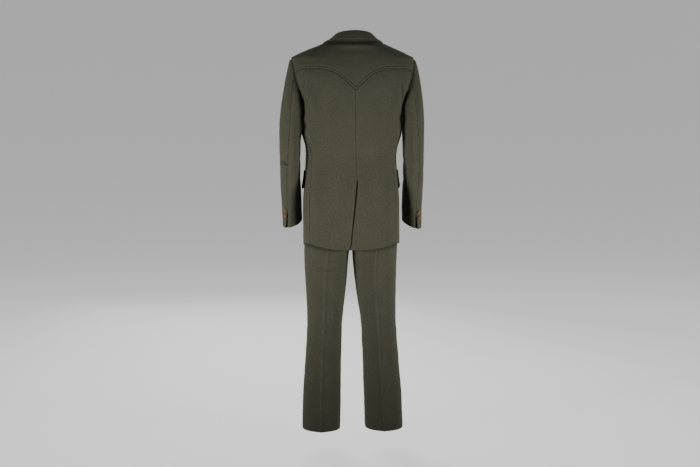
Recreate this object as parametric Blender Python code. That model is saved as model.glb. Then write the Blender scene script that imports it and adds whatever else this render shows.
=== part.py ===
"""A western suit as it is worn: a jacket with a pointed back yoke, and straight pressed trousers.

Metres, +Z up. The front faces -Y and the wearer's left is +X. The origin is the middle of the neck
opening, level with the neck ends of the shoulder seams, where the wearer's shoulders carry the suit.
"""

import math

import bpy
import numpy as np
from mathutils import Vector
from mathutils.bvhtree import BVHTree

# Cloth
CLOTH = 0.0020  # suiting with its interlining
SEAM = 0.0003  # gap between two pieces that are sewn edge to edge
LAYER = 0.0010  # air between a piece and the one that lies on it
YOKE_STEP = 0.0012  # how far the turned edge of the yoke stands over the back

# Heights of the jacket
NAPE = 0.014
SHOULDER_TIP = -0.063
ARMPIT = -0.270
BREAK = -0.400  # the lapel starts to roll here
VENT_TOP = -0.516
HEM_BACK = -0.757
HEM_SIDE = -0.737

# Back vent
VENT_SLANT = 0.017  # how far the upper edge swings to the wearer's left at the hem
VENT_STAND = 0.0045  # how far that edge stands off at the hem
VENT_STAND_REACH = 0.22  # share of the half back over which it settles again
VENT_UNDERLAP = 0.045
UNDERLAP_DROP = CLOTH + 2 * SEAM  # an underlap lies just clear of the piece that covers it
UNDERLAP_SAG = 0.0015  # its free edge lies this much deeper
VENT_RAMP = 0.006  # height over which the underlap dives below the other side

# Front
FRONT_OVERLAP = 0.020  # past the centre, left over right
OVERLAP_STEP = (math.pi - 0.36, math.pi - 0.17)  # turns between which the left front climbs over the right
OVERLAP_START = (BREAK + 0.20, BREAK + 0.10)  # heights between which it does
BUTTON_HEIGHTS = (-0.405, -0.505)
HEM_DROP_TOP = -0.600  # the hem's shape fades out above this
FRONT_COLUMNS = (0, 0.10, 0.20, 0.31, 0.42, 0.53, 0.64, 0.74, 0.84, 0.92, 0.965, 1)

# Hip pocket flaps
FLAP_TOP = -0.474
FLAP_DEPTH = 0.070
FLAP_TURNS = (92, 142)  # degrees round from the middle of the back
FLAP_TILT = 0.006  # its front end is cut this much higher
FLAP_CORNER = 0.2  # share of its length that a rounded corner takes
FLAP_CORNER_RISE = 0.28  # share of its depth that a corner rises
FLAP_GAP = 0.0016
FLAP_STAND = 0.005  # how far the lower edge stands off the front

# Sleeves
SLEEVE_TOP_RING = -0.300  # first level ring of the arm, below the armhole
CUFFS = {1: -0.668, -1: -0.676}  # the left arm is bent a little more, so its cuff hangs higher
TWISTS = {1: math.radians(14), -1: math.radians(2)}  # how far each back seam winds outwards on its way down
ARMHOLE_STAND = CLOTH + 0.0006  # the sleeve head stands over the edge of the armhole
BACK_SEAM_TURN = math.radians(76)
FRONT_SEAM_TURN = math.radians(235)
CUFF_VENT = 0.068
CUFF_UNDERLAP_TURN = math.radians(22)
CUFF_STAND = 0.0025  # how far the upper side of the vent stands off at the hem
CUFF_OPENING = 0.05  # how far it swings away there, in radians

# Trousers
WAIST = -0.440
WAISTBAND_HEIGHT = 0.038
WAISTBAND_LAP = 0.040
CROTCH = -0.722
CROTCH_RISE = 0.135  # height over which the two legs become one seat
TROUSER_HEM = -1.438
CREASE_HEIGHT = 0.0055
CREASE_SHARE = 0.12  # share of a panel on each side of the crease that it lifts
CREASE_FADE = (-0.500, -0.620)  # heights between which the pressing begins
FLY_BOTTOM = -0.600
FLY_WIDTH = 0.036

# Buttons
JACKET_BUTTON = 0.020
SMALL_BUTTON = 0.015
BUTTON_THICKNESS = 0.0034
BUTTON_SIDES = 12
BUTTON_FOOT = 0.78  # its foot's radius, as a share of its own
BUTTON_DISH = 0.72  # height of its dished middle, as a share of its thickness
CUFF_BUTTON_HEIGHTS = (0.042, 0.063)  # above the cuff
CUFF_BUTTON_TURN = 0.29  # from the back seam of the sleeve
WAISTBAND_BUTTON_TURN = math.pi + 0.10
RAY_START = 0.020


class Sections:
    """A table with named columns, read as smooth curves over its first column."""

    def __init__(self, columns, rows):
        data = np.array(rows, float)
        order = np.argsort(data[:, 0])
        self.at_rows = data[order, 0]
        self.columns = {name: data[order, i] for i, name in enumerate(columns)}

    def at(self, name, where):
        """The column's value there, along a curve that doesn't overshoot its rows."""
        x, y = self.at_rows, self.columns[name]
        step = np.diff(x)
        slope = np.diff(y) / step
        tangent = np.zeros(len(x))
        same_way = slope[:-1] * slope[1:] > 0
        mean = 2 * slope[:-1] * slope[1:] / np.where(same_way, slope[:-1] + slope[1:], 1)
        tangent[1:-1] = np.where(same_way, mean, 0)
        tangent[0], tangent[-1] = slope[0], slope[-1]
        where = np.clip(where, x[0], x[-1])
        i = np.clip(np.searchsorted(x, where) - 1, 0, len(x) - 2)
        t = (where - x[i]) / step[i]
        return (
            (2 * t**3 - 3 * t**2 + 1) * y[i]
            + (t**3 - 2 * t**2 + t) * step[i] * tangent[i]
            + (3 * t**2 - 2 * t**3) * y[i + 1]
            + (t**3 - t**2) * step[i] * tangent[i + 1]
        )


# The body of the jacket, with the shoulder slope above the tip and the neck above 0.
TORSO = Sections(
    ("z", "half_width", "back", "front", "middle", "square"),
    [
        (-0.800, 0.1790, 0.136, 0.140, 0.000, 2.35),
        (-0.700, 0.1790, 0.134, 0.138, 0.000, 2.35),
        (-0.600, 0.1785, 0.130, 0.134, 0.000, 2.35),
        (-0.500, 0.1720, 0.116, 0.129, 0.000, 2.30),
        (-0.425, 0.1665, 0.106, 0.126, 0.000, 2.25),
        (-0.385, 0.1710, 0.110, 0.129, 0.000, 2.25),
        (-0.360, 0.1780, 0.113, 0.131, 0.000, 2.25),
        (-0.335, 0.1845, 0.116, 0.133, 0.000, 2.25),
        (-0.300, 0.1838, 0.121, 0.136, 0.000, 2.25),
        (-0.270, 0.1850, 0.126, 0.138, 0.000, 2.25),
        (-0.220, 0.1960, 0.131, 0.138, 0.000, 2.25),
        (-0.180, 0.2100, 0.131, 0.134, 0.002, 2.30),
        (-0.140, 0.2215, 0.127, 0.126, 0.004, 2.30),
        (-0.100, 0.2270, 0.118, 0.112, 0.006, 2.20),
        (-0.063, 0.2250, 0.105, 0.096, 0.008, 2.10),
        (-0.048, 0.2000, 0.098, 0.089, 0.010, 2.05),
        (-0.030, 0.1590, 0.088, 0.079, 0.013, 2.00),
        (-0.015, 0.1230, 0.079, 0.069, 0.016, 2.00),
        (0.000, 0.0890, 0.070, 0.060, 0.018, 2.00),
        (0.014, 0.0700, 0.060, 0.051, 0.020, 2.00),
        (0.027, 0.0610, 0.052, 0.045, 0.021, 2.00),
        (0.045, 0.0500, 0.042, 0.038, 0.022, 2.00),
    ],
)

# How far round from the side the armhole is cut, over the turn from the shoulder tip to the armpit.
ARMHOLE = Sections(
    ("turn", "back", "front"),
    [
        (0, 0, 0),
        (30, 14, 15),
        (60, 21, 25),
        (90, 25, 32),
        (120, 26, 32),
        (150, 20, 18),
        (180, 10, -10),
    ],
)

# The side seam runs in the back of the side and ends under the arm.
SIDE_SEAM = Sections(
    ("z", "turn"),
    [(-0.80, 58), (-0.50, 59), (-0.42, 62), (-0.35, 69), (-0.30, 76), (ARMPIT, 80)],
)

# Lower edge of the yoke, from the point in the middle of the back to the armhole.
YOKE_EDGE = Sections(
    ("share", "z"),
    [
        (0.00, -0.1749),
        (0.03, -0.1694),
        (0.07, -0.1588),
        (0.14, -0.1405),
        (0.21, -0.1238),
        (0.29, -0.1113),
        (0.37, -0.1037),
        (0.45, -0.0997),
        (0.58, -0.0982),
        (0.73, -0.0993),
        (0.83, -0.1029),
        (0.95, -0.1110),
        (1.00, -0.1172),
    ],
)

# Front edge: the rounded corner at the hem, the buttoned edge, the roll line, and the neck under the collar.
FRONT_EDGE = Sections(
    ("z", "x"),
    [
        (-0.727, 0.035),
        (-0.698, 0.016),
        (-0.660, 0.002),
        (-0.612, -0.010),
        (-0.570, -0.018),
        (-0.520, -FRONT_OVERLAP),
        (BREAK, -FRONT_OVERLAP),
        (-0.230, 0.018),
        (-0.062, 0.0530),
        (-0.040, 0.0665),
        (-0.018, 0.0755),
        (0.000, 0.0800),
    ],
)

# How far the hem of a front lies below its side seam's, from that seam to the front edge.
HEM_DROP = Sections(
    ("share", "z"),
    [
        (0, 0),
        (0.31, -0.009),
        (0.53, -0.020),
        (0.74, -0.026),
        (0.84, -0.023),
        (0.92, -0.013),
        (0.965, -0.003),
        (1, 0.010),
    ],
)
ROLL_SLOPE = 0.225  # sideways over height, up the roll line
ROLL_AT_NECK = 0.070

LAPEL_EDGE = Sections(
    ("z", "x"),
    [
        (BREAK, -0.0150),
        (-0.360, 0.016),
        (-0.300, 0.053),
        (-0.240, 0.087),
        (-0.180, 0.117),
        (-0.130, 0.1365),
        (-0.100, 0.143),
    ],
)
LAPEL_PUFF = 0.0035
RIGHT_LAPEL_FOOT = -0.352  # below this the right lapel lies under the left front
GORGE = Sections(("share", "z"), [(0, -0.0600), (0.2, -0.0725), (0.4, -0.0850), (0.7, -0.0970), (1, -0.109)])

# Collar, from the middle of the back round to the notch: where its foot, roll and edge lie on the jacket.
# turn is degrees round from the middle of the back, and lift is out from the jacket's surface.
COLLAR = Sections(
    (
        "station",
        "foot_turn", "foot_z", "foot_lift",
        "roll_turn", "roll_z", "roll_lift",
        "edge_turn", "edge_z", "edge_lift",
        "bend", "puff", "cut",
    ),
    [
        (0, 0, 0.0148, 0.0000, 0, 0.0400, 0.0025, 0, 0.0020, 0.0042, 0.0030, 0.0020, 0),
        (1, 24, 0.0138, 0.0000, 24, 0.0385, 0.0020, 24, 0.0018, 0.0042, 0.0030, 0.0010, 0),
        (2, 48, 0.0115, 0.0000, 50, 0.0352, 0.0015, 48, 0.0015, 0.0040, 0.0030, -0.0005, 0),
        (3, 70, 0.0085, -0.0005, 74, 0.0297, 0.0010, 70, 0.0010, 0.0038, 0.0028, -0.0025, 0),
        (4, 90, 0.0055, -0.0010, 94, 0.0215, 0.0010, 90, 0.0005, 0.0038, 0.0026, -0.0022, 0),
        (5, 112, 0.0020, -0.0010, 114, 0.0120, 0.0010, 110, -0.0080, 0.0040, 0.0026, 0.0005, 0),
        (6, 137, -0.0090, -0.0010, 132, -0.0035, 0.0030, 124, -0.0200, 0.0042, 0.0026, 0.0030, 0),
        (7, 153, -0.0260, -0.0010, 153.6, -0.0245, 0.0038, 136.5, -0.0360, 0.0042, 0.0024, 0.0025, 0),
        (8, 162.5, -0.0460, -0.0010, 163.1, -0.0440, 0.0040, 145.5, -0.0540, 0.0042, 0.0024, 0.0015, 0.006),
        (9, 166.2, -0.0560, -0.0010, 166.8, -0.0550, 0.0040, 149.4, -0.0700, 0.0042, 0.0024, 0.0010, 0.020),
    ],
)
COLLAR_STATIONS = 14
COLLAR_ARC = (-90, -45, 0, 45, 90)  # degrees over the roll, from the stand to the fall
COLLAR_CUT_WAY = np.array([0, -0.45, -1])  # its ends are cut wider forwards and down

# The arm below the armhole. tilt is how much a ring rises towards the front, and slope towards the body.
ARM = Sections(
    ("z", "x", "y", "half_width", "half_depth", "tilt", "slope"),
    [
        (-0.300, 0.2275, 0.000, 0.0410, 0.0760, 0.00, 0.00),
        (-0.370, 0.2285, 0.003, 0.0395, 0.0720, 0.00, 0.00),
        (-0.430, 0.2285, 0.005, 0.0386, 0.0680, 0.03, 0.00),
        (-0.480, 0.2285, 0.001, 0.0380, 0.0645, 0.10, 0.04),
        (-0.550, 0.2268, -0.015, 0.0374, 0.0600, 0.19, 0.14),
        (-0.620, 0.2245, -0.034, 0.0372, 0.0565, 0.23, 0.27),
        (-0.680, 0.2240, -0.052, 0.0366, 0.0540, 0.24, 0.36),
    ],
)

# Hips and seat, as one tube
HIPS = Sections(
    ("z", "half_width", "back", "front", "square"),
    [
        (-0.400, 0.149, 0.089, 0.103, 2.2),
        (-0.440, 0.150, 0.090, 0.104, 2.2),
        (-0.500, 0.157, 0.098, 0.106, 2.2),
        (-0.560, 0.1680, 0.110, 0.108, 2.2),
        (-0.620, 0.1762, 0.117, 0.109, 2.2),
        (-0.680, 0.1736, 0.114, 0.106, 2.2),
        (-0.740, 0.1715, 0.108, 0.102, 2.2),
    ],
)

# One leg. turn is how far round the crease of the wearer's left leg lies; the right one turns the same way.
LEG = Sections(
    ("z", "x", "y", "half_width", "half_depth", "turn"),
    [
        (-0.600, 0.0866, 0.002, 0.0862, 0.106, 0),
        (-0.722, 0.0868, 0.002, 0.0862, 0.101, 0),
        (-0.780, 0.0895, 0.003, 0.0830, 0.095, 4),
        (-0.900, 0.0930, 0.007, 0.0752, 0.086, 7),
        (-1.050, 0.1010, 0.012, 0.0650, 0.078, 7),
        (-1.190, 0.1082, 0.012, 0.0673, 0.079, 7),
        (-1.320, 0.1145, 0.010, 0.0708, 0.083, 6),
        (-1.470, 0.1185, 0.008, 0.0712, 0.087, 4),
    ],
)

# The suit hangs a little to the wearer's left below the shoulders.
LEAN = Sections(
    ("z", "jacket", "sleeves", "trousers"),
    [
        (-1.46, 0.0000, -0.0040, 0.0000),
        (-1.05, 0.0020, -0.0040, 0.0045),
        (-0.80, 0.0040, -0.0040, 0.0080),
        (-0.70, 0.0045, -0.0035, 0.0060),
        (-0.60, 0.0050, 0.0000, 0.0050),
        (-0.40, 0.0040, 0.0030, 0.0040),
        (-0.10, -0.0010, -0.0010, -0.0010),
        (-0.05, 0.0010, 0.0010, 0.0010),
        (0.00, -0.0020, -0.0020, -0.0020),
        (0.05, -0.0040, -0.0040, -0.0040),
    ],
)

# Largest folds. side 1 is the wearer's left; turn in degrees; across is half the width of a fold;
# lean tips its upper end towards a larger turn, in degrees; a negative height is a trough.
FOLD_COLUMNS = ("side", "turn", "z", "along", "across", "lean", "height")
BACK_FOLDS = [
    (1, 54, -0.190, 0.050, 0.0150, -22, 0.0045),
    (1, 60, -0.235, 0.030, 0.0150, -12, -0.0035),
    (1, 55, -0.285, 0.055, 0.0160, -20, 0.0045),
    (1, 60, -0.350, 0.050, 0.0160, -14, -0.0025),
    (-1, 55, -0.200, 0.055, 0.0150, -22, 0.0040),
    (-1, 60, -0.250, 0.034, 0.0150, -14, -0.0035),
    (-1, 56, -0.310, 0.055, 0.0160, -18, 0.0040),
]
FRONT_FOLDS = [
    (1, 112, -0.340, 0.060, 0.0160, 20, 0.0030),
    (-1, 112, -0.345, 0.060, 0.0160, 20, 0.0030),
    (1, 98, -0.440, 0.045, 0.0150, 10, 0.0035),
    (-1, 98, -0.445, 0.045, 0.0150, 10, 0.0030),
]
SLEEVE_FOLDS = [
    (1, 38, -0.452, 0.030, 0.0085, 82, -0.0038),
    (1, 38, -0.432, 0.034, 0.0100, 84, 0.0028),
    (1, 300, -0.450, 0.040, 0.0120, 96, -0.0035),
    (1, 270, -0.490, 0.035, 0.0120, 84, -0.0030),
    (-1, 120, -0.470, 0.040, 0.0120, 66, -0.0030),
    (-1, 300, -0.455, 0.040, 0.0120, 96, -0.0035),
    (-1, 270, -0.495, 0.035, 0.0120, 84, -0.0030),
]
LEG_FOLDS = [
    (1, 95, -0.838, 0.060, 0.0110, 90, -0.0030),
    (1, 95, -0.815, 0.060, 0.0110, 90, 0.0020),
    (-1, 60, -0.850, 0.050, 0.0140, 78, -0.0020),
]

WOOL = ("wool_suiting", (0.085, 0.090, 0.060), 0.92)
BUTTON = ("brown_button", (0.300, 0.125, 0.050), 0.55)


def ease(start, end, value):
    """0 at start, 1 at end, with level ends."""
    t = np.clip((value - start) / (end - start), 0, 1)
    return t * t * (3 - 2 * t)


def mix(a, b, share):
    return a + (b - a) * share


def rows_and_columns(rows, columns):
    """Two arrays that give each grid point its row's value and its column's value."""
    return np.meshgrid(np.asarray(rows, float), np.asarray(columns, float), indexing="ij")


def material(kind):
    name, colour, roughness = kind
    found = bpy.data.materials.get(name)
    if found:
        return found
    made = bpy.data.materials.new(name)
    made.use_nodes = True
    shader = made.node_tree.nodes["Principled BSDF"]
    shader.inputs["Base Color"].default_value = (*colour, 1)
    shader.inputs["Roughness"].default_value = roughness
    shader.inputs["Metallic"].default_value = 0
    return made


def add_object(name, points, faces, kind):
    """A named object from points and faces, shaded smooth, with its faces pointing out."""
    mesh = bpy.data.meshes.new(name)
    mesh.from_pydata([tuple(map(float, p)) for p in points], [], [tuple(map(int, f)) for f in faces])
    mesh.calc_loop_triangles()
    corners = np.array([[points[i] for i in t.vertices] for t in mesh.loop_triangles])
    if np.linalg.det(corners).sum() < 0:
        mesh.flip_normals()
    mesh.materials.append(material(kind))
    mesh.shade_smooth()
    mesh.set_sharp_from_angle(angle=math.radians(40))
    made = bpy.data.objects.new(name, mesh)
    bpy.context.scene.collection.objects.link(made)
    return made


def wall(name, outer, normals, lean="jacket"):
    """A closed wall of cloth: its outer face has the grid's points, and its inner face lies inside it."""
    rows, columns = outer.shape[:2]
    outer = outer.reshape(-1, 3).copy()
    inner = outer - normals.reshape(-1, 3) * CLOTH
    for face in (outer, inner):
        face[:, 0] += LEAN.at(lean, face[:, 2])
    count = rows * columns
    index = np.arange(count).reshape(rows, columns)
    cells = (index[:-1, :-1], index[:-1, 1:], index[1:, 1:], index[1:, :-1])
    a, b, c, d = (corner.ravel() for corner in cells)
    short = np.linalg.norm(outer[a] - outer[c], axis=1) <= np.linalg.norm(outer[b] - outer[d], axis=1)
    first = np.stack([a, b, np.where(short, c, d)], -1)
    second = np.stack([np.where(short, a, b), c, d], -1)
    sheet = np.concatenate([first, second])
    rim = np.concatenate([index[0, :-1], index[:-1, -1], index[-1, :0:-1], index[:0:-1, 0]])
    after = np.roll(rim, -1)
    near = np.stack([after, rim, rim + count], -1)
    far = np.stack([after, rim + count, after + count], -1)
    edge = np.concatenate([near, far])
    faces = np.concatenate([sheet, sheet[:, ::-1] + count, edge])
    return add_object(name, np.concatenate([outer, inner]), faces, WOOL)


def trim(points, first_row=False, last_row=False, first_column=False, last_column=False):
    """The grid with the edges that are sewn to a neighbour moved in by half a seam's gap."""
    out = points.copy()

    def step_in(edge, beside):
        away = beside - edge
        return edge + away / np.linalg.norm(away, axis=-1, keepdims=True) * SEAM / 2

    if first_column:
        out[:, 0] = step_in(out[:, 0], out[:, 1])
    if last_column:
        out[:, -1] = step_in(out[:, -1], out[:, -2])
    if first_row:
        out[0] = step_in(out[0], out[1])
    if last_row:
        out[-1] = step_in(out[-1], out[-2])
    return out


def normals_of(surface, first, second, outwards):
    """Unit normals of a surface of two parameters, turned to agree with the direction outwards."""
    small = 1e-4
    along = surface(first + small, second) - surface(first - small, second)
    across = surface(first, second + small) - surface(first, second - small)
    normal = np.cross(along, across)
    normal /= np.linalg.norm(normal, axis=-1, keepdims=True)
    return normal * np.sign((normal * outwards).sum(-1, keepdims=True))


def grid_normals(points):
    """Unit normals of a grid from its own points."""
    normal = np.cross(np.gradient(points, axis=0), np.gradient(points, axis=1))
    return normal / np.linalg.norm(normal, axis=-1, keepdims=True)


def fold_lift(folds, side, turn, z, radius):
    """How far the folds of one side raise or sink the cloth at each point."""
    lift = np.zeros(np.broadcast(turn, z).shape)
    for row in folds:
        fold = dict(zip(FOLD_COLUMNS, row))
        if fold["side"] != side:
            continue
        apart = np.mod(np.degrees(turn) - fold["turn"] + 180, 360) - 180
        sideways = np.radians(apart) * radius
        up = z - fold["z"]
        lean = math.radians(fold["lean"])
        along = up * math.cos(lean) + sideways * math.sin(lean)
        across = sideways * math.cos(lean) - up * math.sin(lean)
        lift += fold["height"] * np.exp(-((along / fold["along"]) ** 2) - (across / fold["across"]) ** 2)
    return lift


def oval(turn, square):
    """Sine and cosine for a section between an ellipse and a rectangle."""
    sine, cosine = np.sin(turn), np.cos(turn)
    size = (np.abs(sine) ** square + np.abs(cosine) ** square) ** (-1 / square)
    return sine * size, cosine * size


def torso(side, turn, z, lift=0.0):
    """A point of the jacket's outer face. turn is 0 in the middle of the back and pi in the front's."""

    def surface(turn, z):
        sine, cosine = oval(turn, TORSO.at("square", z))
        depth = np.where(cosine > 0, TORSO.at("back", z), TORSO.at("front", z))
        x = side * TORSO.at("half_width", z) * sine
        y = TORSO.at("middle", z) + depth * cosine
        return np.stack(np.broadcast_arrays(x, y, z), -1)

    turn, z = np.broadcast_arrays(np.asarray(turn, float), np.asarray(z, float))
    points = surface(turn, z)
    outwards = points - np.stack(np.broadcast_arrays(0.0, TORSO.at("middle", z), z - 0.02), -1)
    normals = normals_of(surface, turn, z, outwards)
    return points + normals * np.asarray(lift)[..., None], normals


def front_turn(x, z):
    """The turn at which the front of the jacket is x sideways of the middle, at height z."""
    turns = np.linspace(math.pi / 2, 1.5 * math.pi, 721)
    found = np.empty(np.shape(z))
    for i in np.ndindex(found.shape):
        across = TORSO.at("half_width", z[i]) * oval(turns, TORSO.at("square", z[i]))[0]
        found[i] = np.interp(-x[i], -across, turns)
    return found


def armhole_turn(z, face):
    """The turn of the armhole's edge at height z, on the back or the front."""
    middle, half = (SHOULDER_TIP + ARMPIT) / 2, (SHOULDER_TIP - ARMPIT) / 2
    down = np.degrees(np.arccos(np.clip((z - middle) / half, -1, 1)))
    cut = np.radians(ARMHOLE.at(face, down))
    return math.pi / 2 + (cut if face == "front" else -cut)


def side_edge(z, face):
    """The turn of the side of a back or a front: side seam, then armhole, then shoulder seam."""
    seam = np.radians(SIDE_SEAM.at("turn", z))
    return np.where(z <= ARMPIT, seam, np.where(z >= SHOULDER_TIP, math.pi / 2, armhole_turn(z, face)))


# Shares of the height of a back, from the hem to the yoke, with rows at the vent's top and the armpit.
BACK_SIDE_HEIGHT = YOKE_EDGE.at("z", 1.0) - HEM_SIDE
BACK_MIDDLE_HEIGHT = YOKE_EDGE.at("z", 0.0) - HEM_BACK
VENT_SHARE = (VENT_TOP - HEM_BACK) / BACK_MIDDLE_HEIGHT
ARMPIT_SHARE = (ARMPIT - HEM_SIDE) / BACK_SIDE_HEIGHT
RAMP_SHARE = VENT_RAMP / BACK_MIDDLE_HEIGHT
BACK_ROWS = np.concatenate(
    [
        [0, 0.02],
        np.linspace(0.07, VENT_SHARE - RAMP_SHARE, 4),
        [VENT_SHARE, VENT_SHARE + RAMP_SHARE],
        np.linspace(VENT_SHARE + 0.07, ARMPIT_SHARE - 0.04, 5),
        [ARMPIT_SHARE],
        np.linspace(ARMPIT_SHARE + 0.03, 1, 7),
    ]
)
BACK_COLUMNS = (0, 0.02, 0.05, 0.14, 0.26, 0.39, 0.52, 0.64, 0.74, 0.82, 0.89, 0.945, 1)
SHOULDER_ROWS = np.linspace(SHOULDER_TIP, 0, 7)
SIDE_ROWS = HEM_SIDE + BACK_ROWS[BACK_ROWS <= ARMPIT_SHARE + 1e-9] * BACK_SIDE_HEIGHT


def make_back(side):
    """One half of the back, from the hem to the yoke. The left one laps over the right one in the vent."""
    share_up, share = rows_and_columns(BACK_ROWS, BACK_COLUMNS)
    side_z = HEM_SIDE + share_up * BACK_SIDE_HEIGHT
    hem = mix(HEM_BACK, HEM_SIDE, share**2)
    z = mix(hem, YOKE_EDGE.at("z", share), share_up)
    end = side_edge(side_z, "back")
    down = np.clip((VENT_TOP - z[:, :1]) / (VENT_TOP - HEM_BACK), 0, 1)
    radius = TORSO.at("half_width", z)
    if side > 0:
        start = down * VENT_SLANT / radius
        turn = start + share * (end - start)
        lift = VENT_STAND * down * (1 - ease(0, VENT_STAND_REACH, share))
    else:
        turn = share * end
        under = share_up[:, 0] < VENT_SHARE - 1e-9
        turn[under, 0] = -VENT_UNDERLAP / radius[under, 0]
        lift = np.zeros(z.shape)
        below = share_up[:, 0] < VENT_SHARE + 1e-9
        lift[below, :2] = -UNDERLAP_DROP
        lift[below, 0] -= UNDERLAP_SAG
    lift = lift + fold_lift(BACK_FOLDS, side, turn, z, radius) * ease(1.0, 0.93, share_up)
    points, normals = torso(side, turn, z, lift)
    sewn = trim(points, last_row=True, first_column=True, last_column=True)
    wall("back_left" if side > 0 else "back_right", sewn, normals)


def make_yoke():
    """The pointed yoke, in one piece from shoulder to shoulder. Its lower edge stands over the backs."""
    low = YOKE_EDGE.at("z", 1.0)
    side_z = np.concatenate([[low, -0.103, -0.086, -0.073], SHOULDER_ROWS])
    across = np.concatenate([-np.array(BACK_COLUMNS[:0:-1]), BACK_COLUMNS])
    side_z, share = rows_and_columns(side_z, across)
    side, share = np.where(share < 0, -1, 1), np.abs(share)
    neck = NAPE * np.cos(share * math.pi / 2) ** 2
    z = mix(YOKE_EDGE.at("z", share), neck, (side_z - low) / -low)
    turn = share * side_edge(side_z, "back")
    left, left_normals = torso(1, turn, z, YOKE_STEP)
    right, right_normals = torso(-1, turn, z, YOKE_STEP)
    points = np.where(side[..., None] > 0, left, right)
    normals = np.where(side[..., None] > 0, left_normals, right_normals)
    wall("back_yoke", trim(points, first_row=True, first_column=True, last_column=True), normals)


def front_lift(side, turn, z):
    """The left front lies over the right one where they overlap."""
    lap = ease(*OVERLAP_STEP, turn) * ease(*OVERLAP_START, z)
    return (CLOTH + LAYER) * lap if side > 0 else 0 * turn


def make_front(side):
    """One front, from the side seam to the buttoned edge and the roll line."""
    armhole = ARMPIT + (SHOULDER_TIP - ARMPIT) * np.array([0.006, 0.03, 0.08, 0.18, 0.33, 0.52, 0.72, 0.90])
    rows = np.concatenate([SIDE_ROWS, armhole, SHOULDER_ROWS])
    side_z, share = rows_and_columns(rows, FRONT_COLUMNS)
    z = side_z + HEM_DROP.at("z", share) * ease(HEM_DROP_TOP, HEM_SIDE, side_z)
    start = side_edge(side_z, "front")
    edge_z = z[:, -1:]
    end = front_turn(FRONT_EDGE.at("x", edge_z), edge_z)
    turn = mix(start, end, share)
    radius = TORSO.at("half_width", z)
    lift = front_lift(side, turn, z) + fold_lift(FRONT_FOLDS, side, turn, z, radius)
    points, normals = torso(side, turn, z, lift)
    return wall("front_left" if side > 0 else "front_right", trim(points, first_column=True), normals)


def make_lapel(side):
    """The lapel, turned back over the front from the roll line."""
    share_up, share = rows_and_columns(np.linspace(0, 1, 13), np.linspace(0, 1, 6))
    top = GORGE.at("z", share)
    z = mix(BREAK + 0.002 if side > 0 else RIGHT_LAPEL_FOOT, top, share_up)
    roll = ROLL_AT_NECK + ROLL_SLOPE * z
    if side < 0:
        roll = np.maximum(roll, 0.002 - FRONT_EDGE.at("x", z))
    x = mix(roll, LAPEL_EDGE.at("x", z), share)
    turn = front_turn(x, z)
    puff = LAPEL_PUFF * np.sin(math.pi * share) * ease(0, 0.25, share_up)
    lift = front_lift(side, turn, z) + CLOTH + LAYER + puff
    points, normals = torso(side, turn, z, lift)
    wall("lapel_left" if side > 0 else "lapel_right", trim(points, last_row=True), normals)


def make_collar():
    """The collar: a stand that rises from the neck seam, a roll, and a fall that covers the seam."""
    half = np.linspace(0, COLLAR.at_rows[-1], COLLAR_STATIONS)
    stations = np.concatenate([-half[:0:-1], half])
    rows = []
    for station in stations:
        side, place = (1 if station >= 0 else -1), abs(station)
        spots = {}
        for spot in ("foot", "roll", "edge"):
            turn, z, lift = (COLLAR.at(spot + what, place) for what in ("_turn", "_z", "_lift"))
            spots[spot], normal = torso(side, math.radians(turn), z, lift)
            if spot == "roll":
                out = normal
        foot, roll, edge = spots["foot"], spots["roll"], spots["edge"]
        up = roll - (foot + edge) / 2
        out = out - up * (out @ up) / (up @ up)
        out, up = out / np.linalg.norm(out), up / np.linalg.norm(up)
        bend = COLLAR.at("bend", place)
        arc = np.radians(COLLAR_ARC)
        turned = [roll + bend * (out * math.sin(a) + up * (math.cos(a) - 1)) for a in arc]
        middle = mix(turned[-1], edge, 0.5) + COLLAR.at("cut", place) * COLLAR_CUT_WAY
        fall = [mix(turned[-1], middle, 0.5), middle, mix(middle, edge, 0.5), edge]
        puff = COLLAR.at("puff", place) * np.array([0.7, 1, 0.7, 0])
        rows.append([foot, *turned, *(fall + out * puff[:, None])])
    points = np.array(rows)
    normals = -grid_normals(points)
    wall("collar", points, normals)


def sleeve_point(side, turn, place):
    """A point of a sleeve. turn runs from the outside over the back.

    place is 0 at the armhole, 1 at the first level ring, and 2 at the cuff.
    """
    middle, half = (SHOULDER_TIP + ARMPIT) / 2, (SHOULDER_TIP - ARMPIT) / 2
    turn, place = np.broadcast_arrays(np.asarray(turn, float), np.asarray(place, float))
    z = mix(SLEEVE_TOP_RING, CUFFS[side], np.clip(place - 1, 0, 1))
    sine, cosine = np.sin(turn), np.cos(turn)
    across, deep = ARM.at("half_width", z) * cosine, ARM.at("half_depth", z) * sine
    ring_z = z - ARM.at("tilt", z) * deep - ARM.at("slope", z) * across
    ring = np.stack([ARM.at("x", z) + across, ARM.at("y", z) + deep, ring_z], -1)
    hole_z = middle + half * cosine
    hole_turn = np.where(sine > 0, armhole_turn(hole_z, "back"), armhole_turn(hole_z, "front"))
    hole, out = torso(1, hole_turn, hole_z)
    hole = hole + out * ARMHOLE_STAND
    reach = np.linalg.norm(ring - hole, axis=-1, keepdims=True)
    tuck = np.clip(-cosine, 0, 1) * np.clip(sine, 0, 1)
    leave = np.stack([0.6 + 0.3 * cosine, 0.22 * sine - 1.6 * tuck, -0.65 + 0.3 * cosine], -1)
    arrive = np.stack([0.05 * cosine, 0 * sine, -1 + 0 * sine], -1)
    t = np.clip(place, 0, 1)[..., None]
    cap = (
        (2 * t**3 - 3 * t**2 + 1) * hole
        + (t**3 - 2 * t**2 + t) * reach * leave * 0.26
        + (3 * t**2 - 2 * t**3) * ring
        + (t**3 - t**2) * reach * arrive * 0.85
    )
    points = np.where(place[..., None] < 1, cap, ring)
    return points * (side, 1, 1)


def sleeve_normals(side, turn, place, outwards):
    return normals_of(lambda t, p: sleeve_point(side, t, p), turn, place, outwards)


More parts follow.
